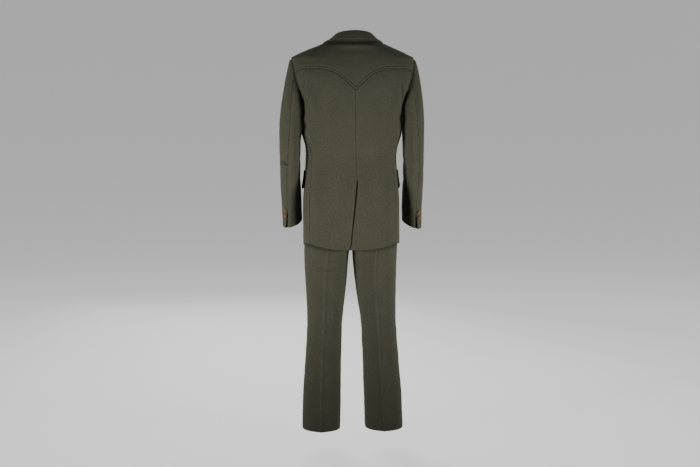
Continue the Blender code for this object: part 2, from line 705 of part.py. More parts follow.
SLEEVE_HEAD_ROWS = (0, 0.05, 0.13, 0.25, 0.42, 0.62, 0.82)
SLEEVE_ROWS = np.concatenate([SLEEVE_HEAD_ROWS, np.linspace(1, 1.79, 12), (1.85, 1.92, 2)])
VENT_PLACE = 2 - CUFF_VENT / (SLEEVE_TOP_RING - CUFFS[1])


def twist(side, place):
    """How far a sleeve has wound outwards at each place."""
    return TWISTS[side] * ease(1.1, 1.9, place)


def make_sleeve(side, name, start, end, columns):
    """One of the two pieces of a sleeve. In the vent the upper piece laps over the under one."""
    place, share = rows_and_columns(SLEEVE_ROWS, np.linspace(0, 1, columns))
    turn = mix(start, end, share)
    in_vent = ease(VENT_PLACE, 2, place)
    lift = np.zeros(turn.shape)
    if name == "upper":
        lift += CUFF_STAND * in_vent * ease(0.16, 0, share)
        turn = turn - CUFF_OPENING * in_vent * ease(0.25, 0, share)
    else:
        below = place[:, 0] > VENT_PLACE
        dropped = np.roll(below, -1) | below
        turn[below, 0] -= CUFF_UNDERLAP_TURN
        turn[below, 1] = start + CUFF_OPENING
        lift[dropped, :2] = -UNDERLAP_DROP
    turn = turn - twist(side, place)
    points = sleeve_point(side, turn, place)
    radius = 0.5 * (ARM.at("half_width", points[..., 2]) + ARM.at("half_depth", points[..., 2]))
    lift = lift + fold_lift(SLEEVE_FOLDS, side, turn, points[..., 2], radius) * ease(0.9, 1.1, place)
    height = points[..., 2]
    axis = np.stack([side * ARM.at("x", height), ARM.at("y", height), height], -1)
    rise = np.where(place < 1, ease(1, 0, place) * np.maximum(np.cos(turn), 0) * 0.1, 0)
    outwards = points - axis + np.stack([0 * rise, 0 * rise, rise], -1)
    normals = sleeve_normals(side, turn, place, outwards)
    points = points + normals * lift[..., None]
    label = ("left" if side > 0 else "right") + "_sleeve_" + name
    return wall(label, trim(points, first_column=True, last_column=True), normals, "sleeves")


def hip_point(turn, z):
    """A point of the hips as one tube, with turn from the middle of the back."""
    sine, cosine = oval(turn, HIPS.at("square", z))
    depth = np.where(cosine > 0, HIPS.at("back", z), HIPS.at("front", z))
    return np.stack(np.broadcast_arrays(HIPS.at("half_width", z) * sine, depth * cosine, z), -1)


def leg_point(side, face, share, z):
    """A point of a trouser leg, on its back or front. share runs from the outside seam to the inside one."""
    share, z = np.broadcast_arrays(np.asarray(share, float), np.asarray(z, float))
    rise = np.clip((z - CROTCH) / CROTCH_RISE, 0, 1)
    seat = np.sqrt(1 - (1 - rise) ** 2)
    turn = math.pi * share * face - np.radians(LEG.at("turn", z)) * side * ease(CROTCH, CROTCH - 0.1, z)
    hips = HIPS.at("half_width", z)
    x = mix(LEG.at("x", z), hips / 2, seat) + mix(LEG.at("half_width", z), hips / 2, seat) * np.cos(turn)
    square = HIPS.at("square", z)
    deep = HIPS.at("back" if face > 0 else "front", z)
    hip_y = face * deep * (1 - np.clip(x / hips, 0, 1) ** square) ** (1 / square)
    y = mix(LEG.at("y", z) + LEG.at("half_depth", z) * np.sin(turn), hip_y, seat)
    return np.stack([x, y, z], -1) * (side, 1, 1)


SEAT_ROWS = CROTCH + CROTCH_RISE * (1 - np.cos(np.radians([90, 72, 56, 42, 30, 20, 10, 0])))
HIP_ROWS = np.linspace(WAIST, SEAT_ROWS[0], 4)[:-1]
LEG_ROWS = np.concatenate([HIP_ROWS, SEAT_ROWS, np.linspace(CROTCH, TROUSER_HEM, 14)[1:]])
LEG_COLUMNS = (0, 0.14, 0.29, 0.43, 0.5, 0.57, 0.71, 0.86, 1)


def make_trouser_panel(side, face):
    """The front or the back of one leg, with its pressed crease."""
    z, share = rows_and_columns(LEG_ROWS, LEG_COLUMNS)
    points = leg_point(side, face, share, z)
    centre = np.stack([side * LEG.at("x", z), LEG.at("y", z), z], -1)
    inwards = np.where(share > 0.5, -0.01, 0.01) * (z >= SEAT_ROWS[0] - 1e-9)
    normals = normals_of(lambda s, h: leg_point(side, face, s, h), share + inwards, z, points - centre)
    above = LEG_ROWS >= SEAT_ROWS[0] - 1e-9
    normals[above, 0, 1] = 0
    normals[above, -1, 0] = 0
    normals /= np.linalg.norm(normals, axis=-1, keepdims=True)
    lift = CREASE_HEIGHT * np.clip(1 - np.abs(share - 0.5) / CREASE_SHARE, 0, 1) * ease(*CREASE_FADE, z)
    if face > 0:
        lift += fold_lift(LEG_FOLDS, side, math.pi * share, z, LEG.at("half_depth", z))
    points = points + normals * lift[..., None]
    points = trim(points, first_row=True, first_column=True, last_column=True)
    name = ("left" if side > 0 else "right") + "_leg_" + ("back" if face > 0 else "front")
    wall(name, points, normals, "trousers")


def hip_wall(name, turns, heights, lift):
    """A piece that follows the hips, between given turns and heights."""
    z, turn = rows_and_columns(heights, turns)
    points = hip_point(turn, z)
    normals = normals_of(hip_point, turn, z, points * (1, 1, 0))
    lift = np.broadcast_to(lift, turn.shape)
    return wall(name, points + normals * lift[..., None], normals, "trousers")


def make_waistband():
    """The waistband, whose left end laps over the right one in front."""
    lap = WAISTBAND_LAP / HIPS.at("front", WAIST) / 1.35
    round_the_waist = np.linspace(-math.pi + 0.12, math.pi - 0.12, 31)
    turns = np.concatenate([[-math.pi], round_the_waist, [math.pi, math.pi + lap]])
    heights = WAIST + SEAM / 2 + np.linspace(0, WAISTBAND_HEIGHT, 2)
    over = (CLOTH + LAYER) * ease(math.pi - 0.24, math.pi - 0.10, turns)
    return hip_wall("waistband", turns, heights, over)


def make_fly():
    """The flap of the fly, which covers the opening in front of the left leg's front panel."""
    reach = FLY_WIDTH / HIPS.at("half_width", WAIST)
    turns = math.pi - np.linspace(-0.02, reach, 4)
    hip_wall("fly", turns, np.linspace(WAIST - 0.001, FLY_BOTTOM, 7), CLOTH + LAYER)


def make_flap(side):
    """A hip pocket's flap, with rounded lower corners and its lower edge standing off the front."""
    down, share = rows_and_columns((0, 0.3, 0.6, 0.85, 1), (0, 0.05, 0.12, 0.25, 0.5, 0.75, 0.88, 0.95, 1))
    from_end = np.minimum(share, 1 - share)
    corner = np.clip(1 - from_end / FLAP_CORNER, 0, 1)
    depth = FLAP_DEPTH * (1 - FLAP_CORNER_RISE * (1 - np.sqrt(1 - corner**2)))
    z = FLAP_TOP - down * depth + FLAP_TILT * share
    turn = np.radians(mix(*FLAP_TURNS, share))
    radius = TORSO.at("half_width", z)
    cloth = fold_lift(FRONT_FOLDS, side, turn, z, radius)
    lift = cloth + CLOTH + FLAP_GAP + FLAP_STAND * down**1.5 * mix(1.0, 0.35, share)
    points, normals = torso(side, turn, z, lift)
    wall("pocket_flap_left" if side > 0 else "pocket_flap_right", points, normals)


def make_button(name, carrier, place, out, diameter):
    """A round button with a raised rim and a dished middle, seated just clear of its cloth."""
    place = np.array(place, float)
    out = np.asarray(out, float) / np.linalg.norm(out)
    first = np.cross(out, (0, 0, 1))
    first /= np.linalg.norm(first)
    second = np.cross(out, first)
    turns = np.arange(BUTTON_SIDES) * 2 * math.pi / BUTTON_SIDES
    around = np.cos(turns)[:, None] * first + np.sin(turns)[:, None] * second
    radius, thick = diameter / 2, BUTTON_THICKNESS
    foot = BUTTON_FOOT * radius
    shape = carrier.data
    cloth = BVHTree.FromPolygons([v.co for v in shape.vertices], [f.vertices for f in shape.polygons])
    above = place + out * RAY_START
    offsets = (0 * first, *(around * foot))
    hits = [cloth.ray_cast(Vector(above + offset), Vector(-out))[3] for offset in offsets]
    base = place + out * (RAY_START - min(hit for hit in hits if hit) + SEAM)
    profile = [
        (foot, 0),
        (radius, 0.35 * thick),
        (0.94 * radius, 0.90 * thick),
        (0.80 * radius, thick),
        (0.66 * radius, BUTTON_DISH * thick),
    ]
    points = [base]
    for r, height in profile:
        points.extend(base + out * height + around * r)
    points.append(base + out * BUTTON_DISH * thick)
    last = len(points) - 1
    faces = []
    for k in range(BUTTON_SIDES):
        after = (k + 1) % BUTTON_SIDES
        faces.append((0, 1 + k, 1 + after))
        for ring in range(len(profile) - 1):
            low, high = 1 + ring * BUTTON_SIDES, 1 + (ring + 1) * BUTTON_SIDES
            faces.append((low + k, high + k, high + after, low + after))
        top = 1 + (len(profile) - 1) * BUTTON_SIDES
        faces.append((top + k, last, top + after))
    add_object(name, points, faces, BUTTON)


def make_front_buttons(front):
    """The two buttons that close the jacket, on the left front."""
    for number, z in enumerate(BUTTON_HEIGHTS, 1):
        place, out = torso(1, math.pi, z)
        place[0] += LEAN.at("jacket", z)
        make_button(f"jacket_button_{number}", front, place, out, JACKET_BUTTON)


def make_cuff_buttons(side, sleeve):
    """Two buttons beside the cuff's vent, on the upper piece of the sleeve."""
    for number, above_hem in enumerate(CUFF_BUTTON_HEIGHTS, 1):
        place = 2 - above_hem / (SLEEVE_TOP_RING - CUFFS[side])
        turn = BACK_SEAM_TURN - CUFF_BUTTON_TURN - twist(side, place)
        point = sleeve_point(side, turn, place)
        z = point[2]
        axis = np.array([side * ARM.at("x", z), ARM.at("y", z), z])
        normal = sleeve_normals(side, np.array(turn), np.array(place), point - axis)
        point[0] += LEAN.at("sleeves", z)
        label = ("left" if side > 0 else "right") + f"_cuff_button_{number}"
        make_button(label, sleeve, point, normal, SMALL_BUTTON)


def make_waistband_button(waistband):
    """The button of the waistband, on its left end."""
    z = np.array(WAIST + WAISTBAND_HEIGHT / 2)
    turn = np.array(WAISTBAND_BUTTON_TURN)
    point = hip_point(turn, z)
    normal = normals_of(hip_point, turn, z, point * (1, 1, 0))
    point[0] += LEAN.at("trousers", z)
    make_button("waistband_button", waistband, point, normal, SMALL_BUTTON)


def main():
    for old in list(bpy.data.objects):
        bpy.data.objects.remove(old)
    make_yoke()
    make_collar()
    for side in (1, -1):
        make_back(side)
        front = make_front(side)
        if side > 0:
            make_front_buttons(front)
        make_lapel(side)
        make_flap(side)
        sleeve = make_sleeve(side, "upper", BACK_SEAM_TURN, FRONT_SEAM_TURN - 2 * math.pi, 11)
        make_sleeve(side, "under", BACK_SEAM_TURN, FRONT_SEAM_TURN, 8)
        make_cuff_buttons(side, sleeve)
        for face in (1, -1):
            make_trouser_panel(side, face)
    make_fly()
    make_waistband_button(make_waistband())


main()
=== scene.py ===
import math
import bpy
import numpy as np
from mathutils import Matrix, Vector


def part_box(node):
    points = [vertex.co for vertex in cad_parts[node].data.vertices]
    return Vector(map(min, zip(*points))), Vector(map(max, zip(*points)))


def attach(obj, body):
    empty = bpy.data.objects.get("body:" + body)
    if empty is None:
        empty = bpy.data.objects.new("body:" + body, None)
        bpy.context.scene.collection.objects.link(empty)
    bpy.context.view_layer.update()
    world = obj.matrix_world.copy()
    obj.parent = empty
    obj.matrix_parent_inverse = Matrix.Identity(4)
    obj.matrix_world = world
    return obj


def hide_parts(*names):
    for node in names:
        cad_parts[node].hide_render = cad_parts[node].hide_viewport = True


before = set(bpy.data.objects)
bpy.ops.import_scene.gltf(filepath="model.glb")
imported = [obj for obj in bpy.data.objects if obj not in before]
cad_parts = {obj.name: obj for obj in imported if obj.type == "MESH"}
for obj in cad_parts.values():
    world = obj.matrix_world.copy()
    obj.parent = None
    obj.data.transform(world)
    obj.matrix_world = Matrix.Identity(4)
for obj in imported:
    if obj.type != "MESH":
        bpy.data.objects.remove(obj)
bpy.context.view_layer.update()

print("frame loaded:", len(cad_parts), "nodes")

# The cloth in metres: its wall, the gap at a seam, the air between two layers, and how an edge rolls.
# The last three say how much a bend changes its painted shade, and how far a painted highlight lightens a ridge
# and painted shade darkens a hollow
cloth = dict(
    thick=0.0020, seam=0.0003, layer=0.0010, roll=0.0006, rim=0.0003, hollow=0.0008, ridge=0.20, depth=0.45,
)
# Heights above the neck ends of the shoulder seams. The legs turn into the hips over crotchRise
heights = dict(
    nape=0.014, shoulderTip=-0.063, armpit=-0.270, lapelBreak=-0.400, ventTop=-0.498,
    hemBack=-0.757, hemSide=-0.737, topRing=-0.300, waist=-0.440,
    crotch=-0.722, crotchRise=0.135, trouserHem=-1.438, flyBottom=-0.600,
)
armholeMiddle = (heights["shoulderTip"] + heights["armpit"]) / 2
armholeHalf = (heights["shoulderTip"] - heights["armpit"]) / 2
fineEnds = (0.0007, 0.0016, 0.003)  # how close the first points lie at a wall's edge


def ease(start, end, value):  # 0 at start, 1 at end, level at both
    t = np.clip((value - start) / (end - start), 0, 1)
    return t * t * (3 - 2 * t)


def mix(a, b, share):
    return a + (b - a) * share


def bump(distance, middle, width):
    return np.exp(-(((distance - middle) / width) ** 2))


def unit(vectors):
    return vectors / np.maximum(np.linalg.norm(vectors, axis=-1, keepdims=True), 1e-12)


def blendCurve(t, start, leave, end, arrive):  # a smooth curve with given directions at its two ends
    return (
        (2 * t**3 - 3 * t**2 + 1) * start + (t**3 - 2 * t**2 + t) * leave
        + (3 * t**2 - 2 * t**3) * end + (t**3 - t**2) * arrive
    )


def readTable(names, rows):  # named columns, read as smooth curves over the first one
    data = np.array(sorted(rows), float)
    column = {name: data[:, i] for i, name in enumerate(names.split())}
    x = data[:, 0]
    step = np.diff(x)

    def at(name, where):
        y = column[name]
        slope = np.diff(y) / step
        tangent = np.zeros(len(x))
        sameWay = slope[:-1] * slope[1:] > 0
        mean = 2 * slope[:-1] * slope[1:] / np.where(sameWay, slope[:-1] + slope[1:], 1)
        tangent[1:-1] = np.where(sameWay, mean, 0)
        tangent[0], tangent[-1] = slope[0], slope[-1]
        where = np.clip(where, x[0], x[-1])
        i = np.clip(np.searchsorted(x, where) - 1, 0, len(x) - 2)
        t = (where - x[i]) / step[i]
        return blendCurve(t, y[i], step[i] * tangent[i], y[i + 1], step[i] * tangent[i + 1])

    return at


# The jacket's body, with the shoulder slope above the tip and the neck above 0
torsoTable = readTable("z halfWidth back front middle square", [
    (-0.800, 0.1790, 0.136, 0.140, 0.000, 2.35), (-0.700, 0.1790, 0.134, 0.138, 0.000, 2.35),
    (-0.600, 0.1785, 0.130, 0.134, 0.000, 2.35), (-0.500, 0.1720, 0.116, 0.129, 0.000, 2.30),
    (-0.425, 0.1665, 0.106, 0.126, 0.000, 2.25), (-0.385, 0.1710, 0.110, 0.129, 0.000, 2.25),
    (-0.360, 0.1780, 0.113, 0.131, 0.000, 2.25), (-0.335, 0.1845, 0.116, 0.133, 0.000, 2.25),
    (-0.300, 0.1838, 0.121, 0.136, 0.000, 2.25), (-0.270, 0.1850, 0.126, 0.138, 0.000, 2.25),
    (-0.220, 0.1960, 0.131, 0.138, 0.000, 2.25),
    (-0.180, 0.2100, 0.131, 0.134, 0.002, 2.30), (-0.140, 0.2215, 0.127, 0.126, 0.004, 2.30),
    (-0.100, 0.2270, 0.118, 0.112, 0.006, 2.20), (-0.063, 0.2250, 0.105, 0.096, 0.008, 2.10),
    (-0.048, 0.2000, 0.098, 0.089, 0.010, 2.05), (-0.030, 0.1590, 0.088, 0.079, 0.013, 2.00),
    (-0.015, 0.1230, 0.079, 0.069, 0.016, 2.00), (0.000, 0.0890, 0.070, 0.060, 0.018, 2.00),
    (0.014, 0.0700, 0.060, 0.051, 0.020, 2.00), (0.027, 0.0610, 0.052, 0.045, 0.021, 2.00),
    (0.045, 0.0500, 0.042, 0.038, 0.022, 2.00),
])
# How far round from the side the armhole is cut, from the shoulder tip to the armpit, in degrees
armholeTable = readTable("turn back front", [
    (0, 0, 0), (30, 14, 15), (60, 21, 25), (90, 25, 32), (120, 26, 32), (150, 20, 18), (180, 10, -10),
])
sideSeamTable = readTable("z turn", [
    (-0.80, 58), (-0.50, 59), (-0.42, 62), (-0.35, 69), (-0.30, 76), (-0.27, 80),
])
# The suit hangs a little to its left below the shoulders
leanTable = readTable("z jacket sleeves trousers", [
    (-1.46, 0, -0.004, 0), (-1.05, 0.002, -0.004, 0.0045), (-0.80, 0.004, -0.004, 0.008),
    (-0.70, 0.0045, -0.0035, 0.006), (-0.60, 0.005, 0, 0.005), (-0.40, 0.004, 0.003, 0.004),
    (-0.10, -0.001, -0.001, -0.001), (-0.05, 0.001, 0.001, 0.001), (0.00, -0.002, -0.002, -0.002),
    (0.05, -0.004, -0.004, -0.004),
])


def oval(turn, square):  # sine and cosine for a section between an ellipse and a rectangle
    sine, cosine = np.sin(turn), np.cos(turn)
    size = (np.abs(sine) ** square + np.abs(cosine) ** square) ** (-1 / square)
    return sine * size, cosine * size


def normalsOf(surface, first, second, outwards):  # square to a surface, on the side that outwards points to
    small = 1e-4
    along = surface(first + small, second) - surface(first - small, second)
    across = surface(first, second + small) - surface(first, second - small)
    normal = np.cross(along, across)
    normal /= np.linalg.norm(normal, axis=-1, keepdims=True)
    return normal * np.sign((normal * outwards).sum(-1, keepdims=True))


def torso(side, turn, z, lift=0.0):  # turn runs from 0 in the middle of the back to pi in front
    def surface(turn, z):
        sine, cosine = oval(turn, torsoTable("square", z))
        depth = np.where(cosine > 0, torsoTable("back", z), torsoTable("front", z))
        x = side * torsoTable("halfWidth", z) * sine
        y = torsoTable("middle", z) + depth * cosine
        return np.stack(np.broadcast_arrays(x, y, z), -1)

    turn, z = np.broadcast_arrays(np.asarray(turn, float), np.asarray(z, float))
    points = surface(turn, z)
    outwards = points - np.stack(np.broadcast_arrays(0.0, torsoTable("middle", z), z - 0.02), -1)
    normals = normalsOf(surface, turn, z, outwards)
    return points + normals * np.asarray(lift)[..., None], normals


def frontTurn(x, z):  # the turn at which the front is x sideways of the middle
    square = torsoTable("square", z)
    across = np.clip(x / torsoTable("halfWidth", z), -0.999, 0.999)
    return math.pi - np.arctan2(across, (1 - np.abs(across) ** square) ** (1 / square))


def armholeTurn(z, face):
    down = np.degrees(np.arccos(np.clip((z - armholeMiddle) / armholeHalf, -1, 1)))
    cut = np.radians(armholeTable(face, down))
    return math.pi / 2 + (cut if face == "front" else -cut)


def sideEdge(z, face):  # side seam, then armhole, then shoulder seam
    seam = np.radians(sideSeamTable("turn", z))
    above = np.where(z >= heights["shoulderTip"], math.pi / 2, armholeTurn(z, face))
    return np.where(z <= heights["armpit"], seam, above)


def apartDegrees(turn, other):  # how far round one angle is from another, the short way
    return np.mod(np.degrees(turn) - other + 180, 360) - 180


def foldLift(folds, side, turn, z, radius):
    # Each fold: side, turn in degrees, z, half length, half width, lean in degrees, height, crispness
    lift = np.zeros(np.broadcast(turn, z).shape)
    for foldSide, foldTurn, foldZ, along, across, lean, height, crisp in folds:
        if foldSide != side:
            continue
        sideways = np.radians(apartDegrees(turn, foldTurn)) * radius
        up = z - foldZ
        lean = math.radians(lean)
        lengthways = (up * math.cos(lean) + sideways * math.sin(lean)) / along
        crossways = (sideways * math.cos(lean) - up * math.sin(lean)) / across
        lift += height * np.exp(-(lengthways**2) - (crossways**2 + 1e-4) ** (crisp / 2))
    return lift


def waver(a, b, seed, waves=5):  # a soft uneven wave between -1 and 1, over distances in metres
    dice = np.random.default_rng(seed)
    total = 0
    for _ in range(waves):
        angle, size, start = dice.uniform(0, math.pi), dice.uniform(0.045, 0.13), dice.uniform(0, 6.28)
        total = total + np.sin((a * math.cos(angle) + b * math.sin(angle)) * 2 * math.pi / size + start)
    return total / 3.2


def spaced(length, cell, fine=(0.0007, 0.0016, 0.003, 0.0052)):  # shares of a length, closer at its ends
    ends = np.array([0, *fine])
    count = max(3, int(round((length - 2 * ends[-1]) / cell)))
    inside = np.linspace(ends[-1], length - ends[-1], count + 1)[1:-1]
    return np.concatenate([ends, inside, length - ends[::-1]]) / length


def denser(rows, place, gap, added):  # rows with a stretch about one place drawn anew
    return np.sort(np.concatenate([rows[np.abs(rows - place) > gap], added]))


def rowsAndColumns(rows, columns):
    return np.meshgrid(np.asarray(rows, float), np.asarray(columns, float), indexing="ij")


def runOf(points):  # how far each point is along a line
    return np.concatenate([[0], np.cumsum(np.linalg.norm(np.diff(points, axis=0), axis=1))])


def lengths(points, axis):  # how far each point is along its row or column
    step = np.linalg.norm(np.diff(points, axis=axis), axis=-1)
    start = np.zeros_like(np.take(step, [0], axis))
    return np.concatenate([start, np.cumsum(step, axis=axis)], axis)


def grainOf(points, column=0):  # a flat pattern's coordinates in metres, measured from one column
    across = lengths(points, 1)
    down = lengths(points, 0)[:, column:column + 1]
    return np.stack(np.broadcast_arrays(across - across[:, column:column + 1], down), -1)


def rimOf(index):  # the grid's border, once round
    return np.concatenate([index[0, :-1], index[:-1, -1], index[-1, :0:-1], index[:0:-1, 0]])


def toEdge(points, edge):  # the distance of each point from a line
    flat = points.reshape(-1, 3)
    start, step = edge[:-1], np.diff(edge, axis=0)
    best = np.full(len(flat), np.inf)
    for a, d in zip(start, step):
        t = np.clip(((flat - a) @ d) / max(d @ d, 1e-12), 0, 1)
        best = np.minimum(best, ((flat - a - t[:, None] * d) ** 2).sum(-1))
    return np.sqrt(best).reshape(points.shape[:-1])


def addObject(name, data):
    thing = bpy.data.objects.new(name, data)
    bpy.context.scene.collection.objects.link(thing)
    return thing


def addMesh(name, points, faces, material, grain=None):
    mesh = bpy.data.meshes.new(name)
    mesh.from_pydata(np.asarray(points, float).tolist(), [], faces)
    if grain is not None:
        corner = np.empty(len(mesh.loops), int)
        mesh.loops.foreach_get("vertex_index", corner)
        mesh.uv_layers.new(name="grain").data.foreach_set("uv", grain[corner].ravel())
    mesh.materials.append(material)
    mesh.shade_smooth()
    return addObject(name, mesh)


def lathe(profile, sides, capped=False):  # points and faces turned about the z axis, from a middle point out
    turns = np.arange(sides) * 2 * math.pi / sides
    rings = profile[1:-1] if capped else profile[1:]
    points = [(0, 0, profile[0][1])]
    for radius, z in rings:
        points += [(radius * math.cos(t), radius * math.sin(t), z) for t in turns]
    if capped:
        points.append((0, 0, profile[-1][1]))
    faces = []
    for k in range(sides):
        after = (k + 1) % sides
        faces.append((0, 1 + after, 1 + k))
        for low in range(1, 1 + (len(rings) - 1) * sides, sides):
            high = low + sides
            faces.append((low + k, low + after, high + after, high + k))
        if capped:
            faces.append((high + k, high + after, len(points) - 1))
    return points, faces


def paintedShadeAndHighlight(points, normals):  # painted shade darkens the hollows of the cloth, a painted highlight lightens its ridges
    bend = np.zeros(points.shape[:2])
    for axis in (0, 1):
        line, out = np.moveaxis(points, axis, 0), np.moveaxis(normals, axis, 0)
        line = np.concatenate([line[1:2], line, line[-2:-1]])
        step = np.diff(line, axis=0)
        size = np.maximum(np.linalg.norm(step, axis=-1, keepdims=True), 1e-5)
        turned = (step[1:] / size[1:] - step[:-1] / size[:-1]) * 2 / (size[1:] + size[:-1])
        bend += np.moveaxis((turned * out).sum(-1), 0, axis)
    return 1 - np.clip(bend * cloth["hollow"], -cloth["ridge"], cloth["depth"])


def clothWall(name, outer, normals, lean="jacket", column=0, shade=1.0):
    # A closed wall: outer face, inner face, and a rim rolled softly between them. The weave runs true
    # along one column. Painted shade darkens the hollows and, through shade, what lies in another piece's
    # shadow, and a painted highlight lightens the ridges
    rows, columns = outer.shape[:2]
    count = rows * columns
    index = np.arange(count).reshape(rows, columns)
    grain = grainOf(outer, column).reshape(-1, 2)
    # the tone is painted shade in hollows and in other pieces' shadows, with a painted highlight on ridges
    tone = (paintedShadeAndHighlight(outer, normals) * shade).ravel()
    outer, normals = outer.copy(), normals.reshape(-1, 3)
    away = np.zeros_like(outer)
    away[0] += unit(outer[0] - outer[1])
    away[-1] += unit(outer[-1] - outer[-2])
    away[:, 0] += unit(outer[:, 0] - outer[:, 1])
    away[:, -1] += unit(outer[:, -1] - outer[:, -2])
    outer, away = outer.reshape(-1, 3), away.reshape(-1, 3)
    rim = rimOf(index)
    outer[rim] -= away[rim] * cloth["seam"] / 2
    full = outer[rim] + away[rim] * (cloth["seam"] / 2 + cloth["rim"])
    thick, roll = cloth["thick"], cloth["roll"]
    inner = outer - normals * thick
    outer[rim] -= away[rim] * roll + normals[rim] * 0.15 * thick
    rings = [full - normals[rim] * thick * share for share in (0.35, 0.70)]  # round the rolled rim
    points = np.concatenate([outer, inner, *rings])
    points[:, 0] += leanTable(lean, points[:, 2])
    corners = (index[:-1, :-1], index[:-1, 1:], index[1:, 1:], index[1:, :-1])
    sheet = np.stack([corner.ravel() for corner in corners], -1)
    first = 2 * count + np.arange(len(rim))
    second = first + len(rim)
    strips = []
    for low, high in ((rim, first), (first, second), (second, rim + count)):
        strips.append(np.stack([np.roll(low, -1), low, high, np.roll(high, -1)], -1))
    faces = np.concatenate([sheet, sheet[:, ::-1] + count, *strips])
    # the faces point outwards when the outer sheet looks along its normals
    a, b, _, d = sheet[len(sheet) // 2]
    if np.cross(points[b] - points[a], points[d] - points[a]) @ normals[a] < 0:
        faces = faces[:, ::-1]
    grain = np.concatenate([grain, grain, grain[rim], grain[rim]])
    piece = addMesh(name, points, faces.tolist(), wool, grain)
    tone = np.concatenate([tone, np.ones(count), tone[rim], tone[rim]])
    # the wool's colour is multiplied by this painted shade and highlight
    piece.data.attributes.new("tone", "FLOAT", "POINT").data.foreach_set("value", tone)
    return piece


def sideName(side):
    return "left" if side > 0 else "right"


def wear(piece, node):
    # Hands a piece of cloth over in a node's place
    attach(piece, "root")
    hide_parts(node)


def toLinear(colour):  # an sRGB hex value as linear red, green, blue and a full alpha
    parts = [int(colour[i:i + 2], 16) / 255 for i in (1, 3, 5)]
    return (*(p / 12.92 if p <= 0.04045 else ((p + 0.055) / 1.055) ** 2.4 for p in parts), 1)


def addNode(tree, kind, settings=None, links=None):
    # settings are properties or input values, links are (input, node, output)
    node = tree.nodes.new(kind)
    for name, value in (settings or {}).items():
        if isinstance(name, str) and hasattr(node, name):
            setattr(node, name, value)
        else:
            node.inputs[name].default_value = value
    for to, source, output in links or []:
        tree.links.new(source.outputs[output], node.inputs[to])
    return node


def newMaterial(name):
    material = bpy.data.materials.new(name)
    material.use_nodes = True
    material.node_tree.nodes.clear()
    return material, material.node_tree


# Worsted wool twill, woven and pressed: dry and matt, with fine diagonal lines, a slight heather
# and a soft fuzz that lights up at its edges. Pitches and flecks are in millimetres
woolLook = dict(
    dark="#35342b", light="#4a493c", twillPitch=1.7, twillTurn=52, yarn=0.9, heather=3.4, cloud=60.0,
    lines=(0.80, 1.12), flecks=(0.84, 1.16), clouds=(0.95, 1.05), relief=0.00022,
    roughness=0.88, sheen=0.10, sheenTint="#b9b79f",
)


def makeWool():
    look = woolLook
    material, tree = newMaterial("worsted wool twill")
    grain = addNode(tree, "ShaderNodeUVMap", {"uv_map": "grain"})
    flat = addNode(tree, "ShaderNodeMapping", {"Scale": (1000, 1000, 1000)}, [("Vector", grain, "UV")])
    turned = addNode(
        tree, "ShaderNodeMapping", {"Rotation": (0, 0, math.radians(look["twillTurn"]))},
        [("Vector", flat, "Vector")])
    # the real twill is about half this pitch, which would not show
    twill = addNode(
        tree, "ShaderNodeTexWave",
        {"wave_type": "BANDS", "bands_direction": "X", "Scale": 0.314 / look["twillPitch"], "Distortion": 1.1,
         "Detail": 1.0, "Detail Scale": 2.0},
        [("Vector", turned, "Vector")])
    drawn = addNode(tree, "ShaderNodeMapping", {"Scale": (1.0, 0.35, 1)}, [("Vector", turned, "Vector")])
    yarn = addNode(
        tree, "ShaderNodeTexNoise", {"Scale": 1 / look["yarn"], "Detail": 2.0}, [("Vector", drawn, "Vector")])
    weft = addNode(tree, "ShaderNodeMapping", {"Scale": (0.45, 1, 1)}, [("Vector", flat, "Vector")])
    heather = addNode(
        tree, "ShaderNodeTexNoise", {"Scale": 1 / look["heather"], "Detail": 3.0, "Roughness": 0.65},
        [("Vector", weft, "Vector")])
    cloud = addNode(
        tree, "ShaderNodeTexNoise", {"Scale": 1 / look["cloud"], "Detail": 2.0}, [("Vector", flat, "Vector")])
    spread = addNode(
        tree, "ShaderNodeMapRange", {"From Min": 0.25, "From Max": 0.75}, [("Value", heather, "Fac")])
    base = addNode(
        tree, "ShaderNodeMix", {"data_type": "RGBA", 6: toLinear(look["dark"]), 7: toLinear(look["light"])},
        [(0, spread, "Result")])
    # the weave, its flecks, soft clouds and the painted shade of hollows and shadows with the painted highlight
    # of ridges, one upon the other
    tone, output = addNode(tree, "ShaderNodeAttribute", {"attribute_name": "tone"}), "Fac"
    patterns = (
        (twill, (0.0, 1.0), look["lines"]),
        (yarn, (0.3, 0.7), look["flecks"]),
        (cloud, (0.3, 0.7), look["clouds"]),
    )
    for pattern, found, wanted in patterns:
        ranged = addNode(
            tree, "ShaderNodeMapRange",
            {"From Min": found[0], "From Max": found[1], "To Min": wanted[0], "To Max": wanted[1]},
            [("Value", pattern, "Fac")])
        tone = addNode(
            tree, "ShaderNodeMath", {"operation": "MULTIPLY"}, [(0, tone, output), (1, ranged, "Result")])
        output = "Value"
    shade = addNode(
        tree, "ShaderNodeVectorMath", {"operation": "SCALE"}, [("Vector", base, 2), ("Scale", tone, "Value")])
    height = addNode(tree, "ShaderNodeMath", {"operation": "ADD"}, [(0, twill, "Fac"), (1, yarn, "Fac")])
    relief = addNode(
        tree, "ShaderNodeBump", {"Strength": 0.7, "Distance": look["relief"]}, [("Height", height, "Value")])
    shader = addNode(
        tree, "ShaderNodeBsdfPrincipled",
        {"Roughness": look["roughness"], "IOR": 1.45, "Specular IOR Level": 0.25, "Sheen Weight": look["sheen"],
         "Sheen Roughness": 0.45, "Sheen Tint": toLinear(look["sheenTint"])},
        [("Base Color", shade, "Vector"), ("Normal", relief, "Normal")])
    addNode(tree, "ShaderNodeOutputMaterial", {}, [("Surface", shader, "BSDF")])
    return material


# Spun polyester sewing thread, a shade lighter than the cloth: a faint gloss on each stitch
threadLook = dict(dark="#3d3c2f", light="#605e4b", fibre=1800.0, roughness=0.62, sheen=0.15)


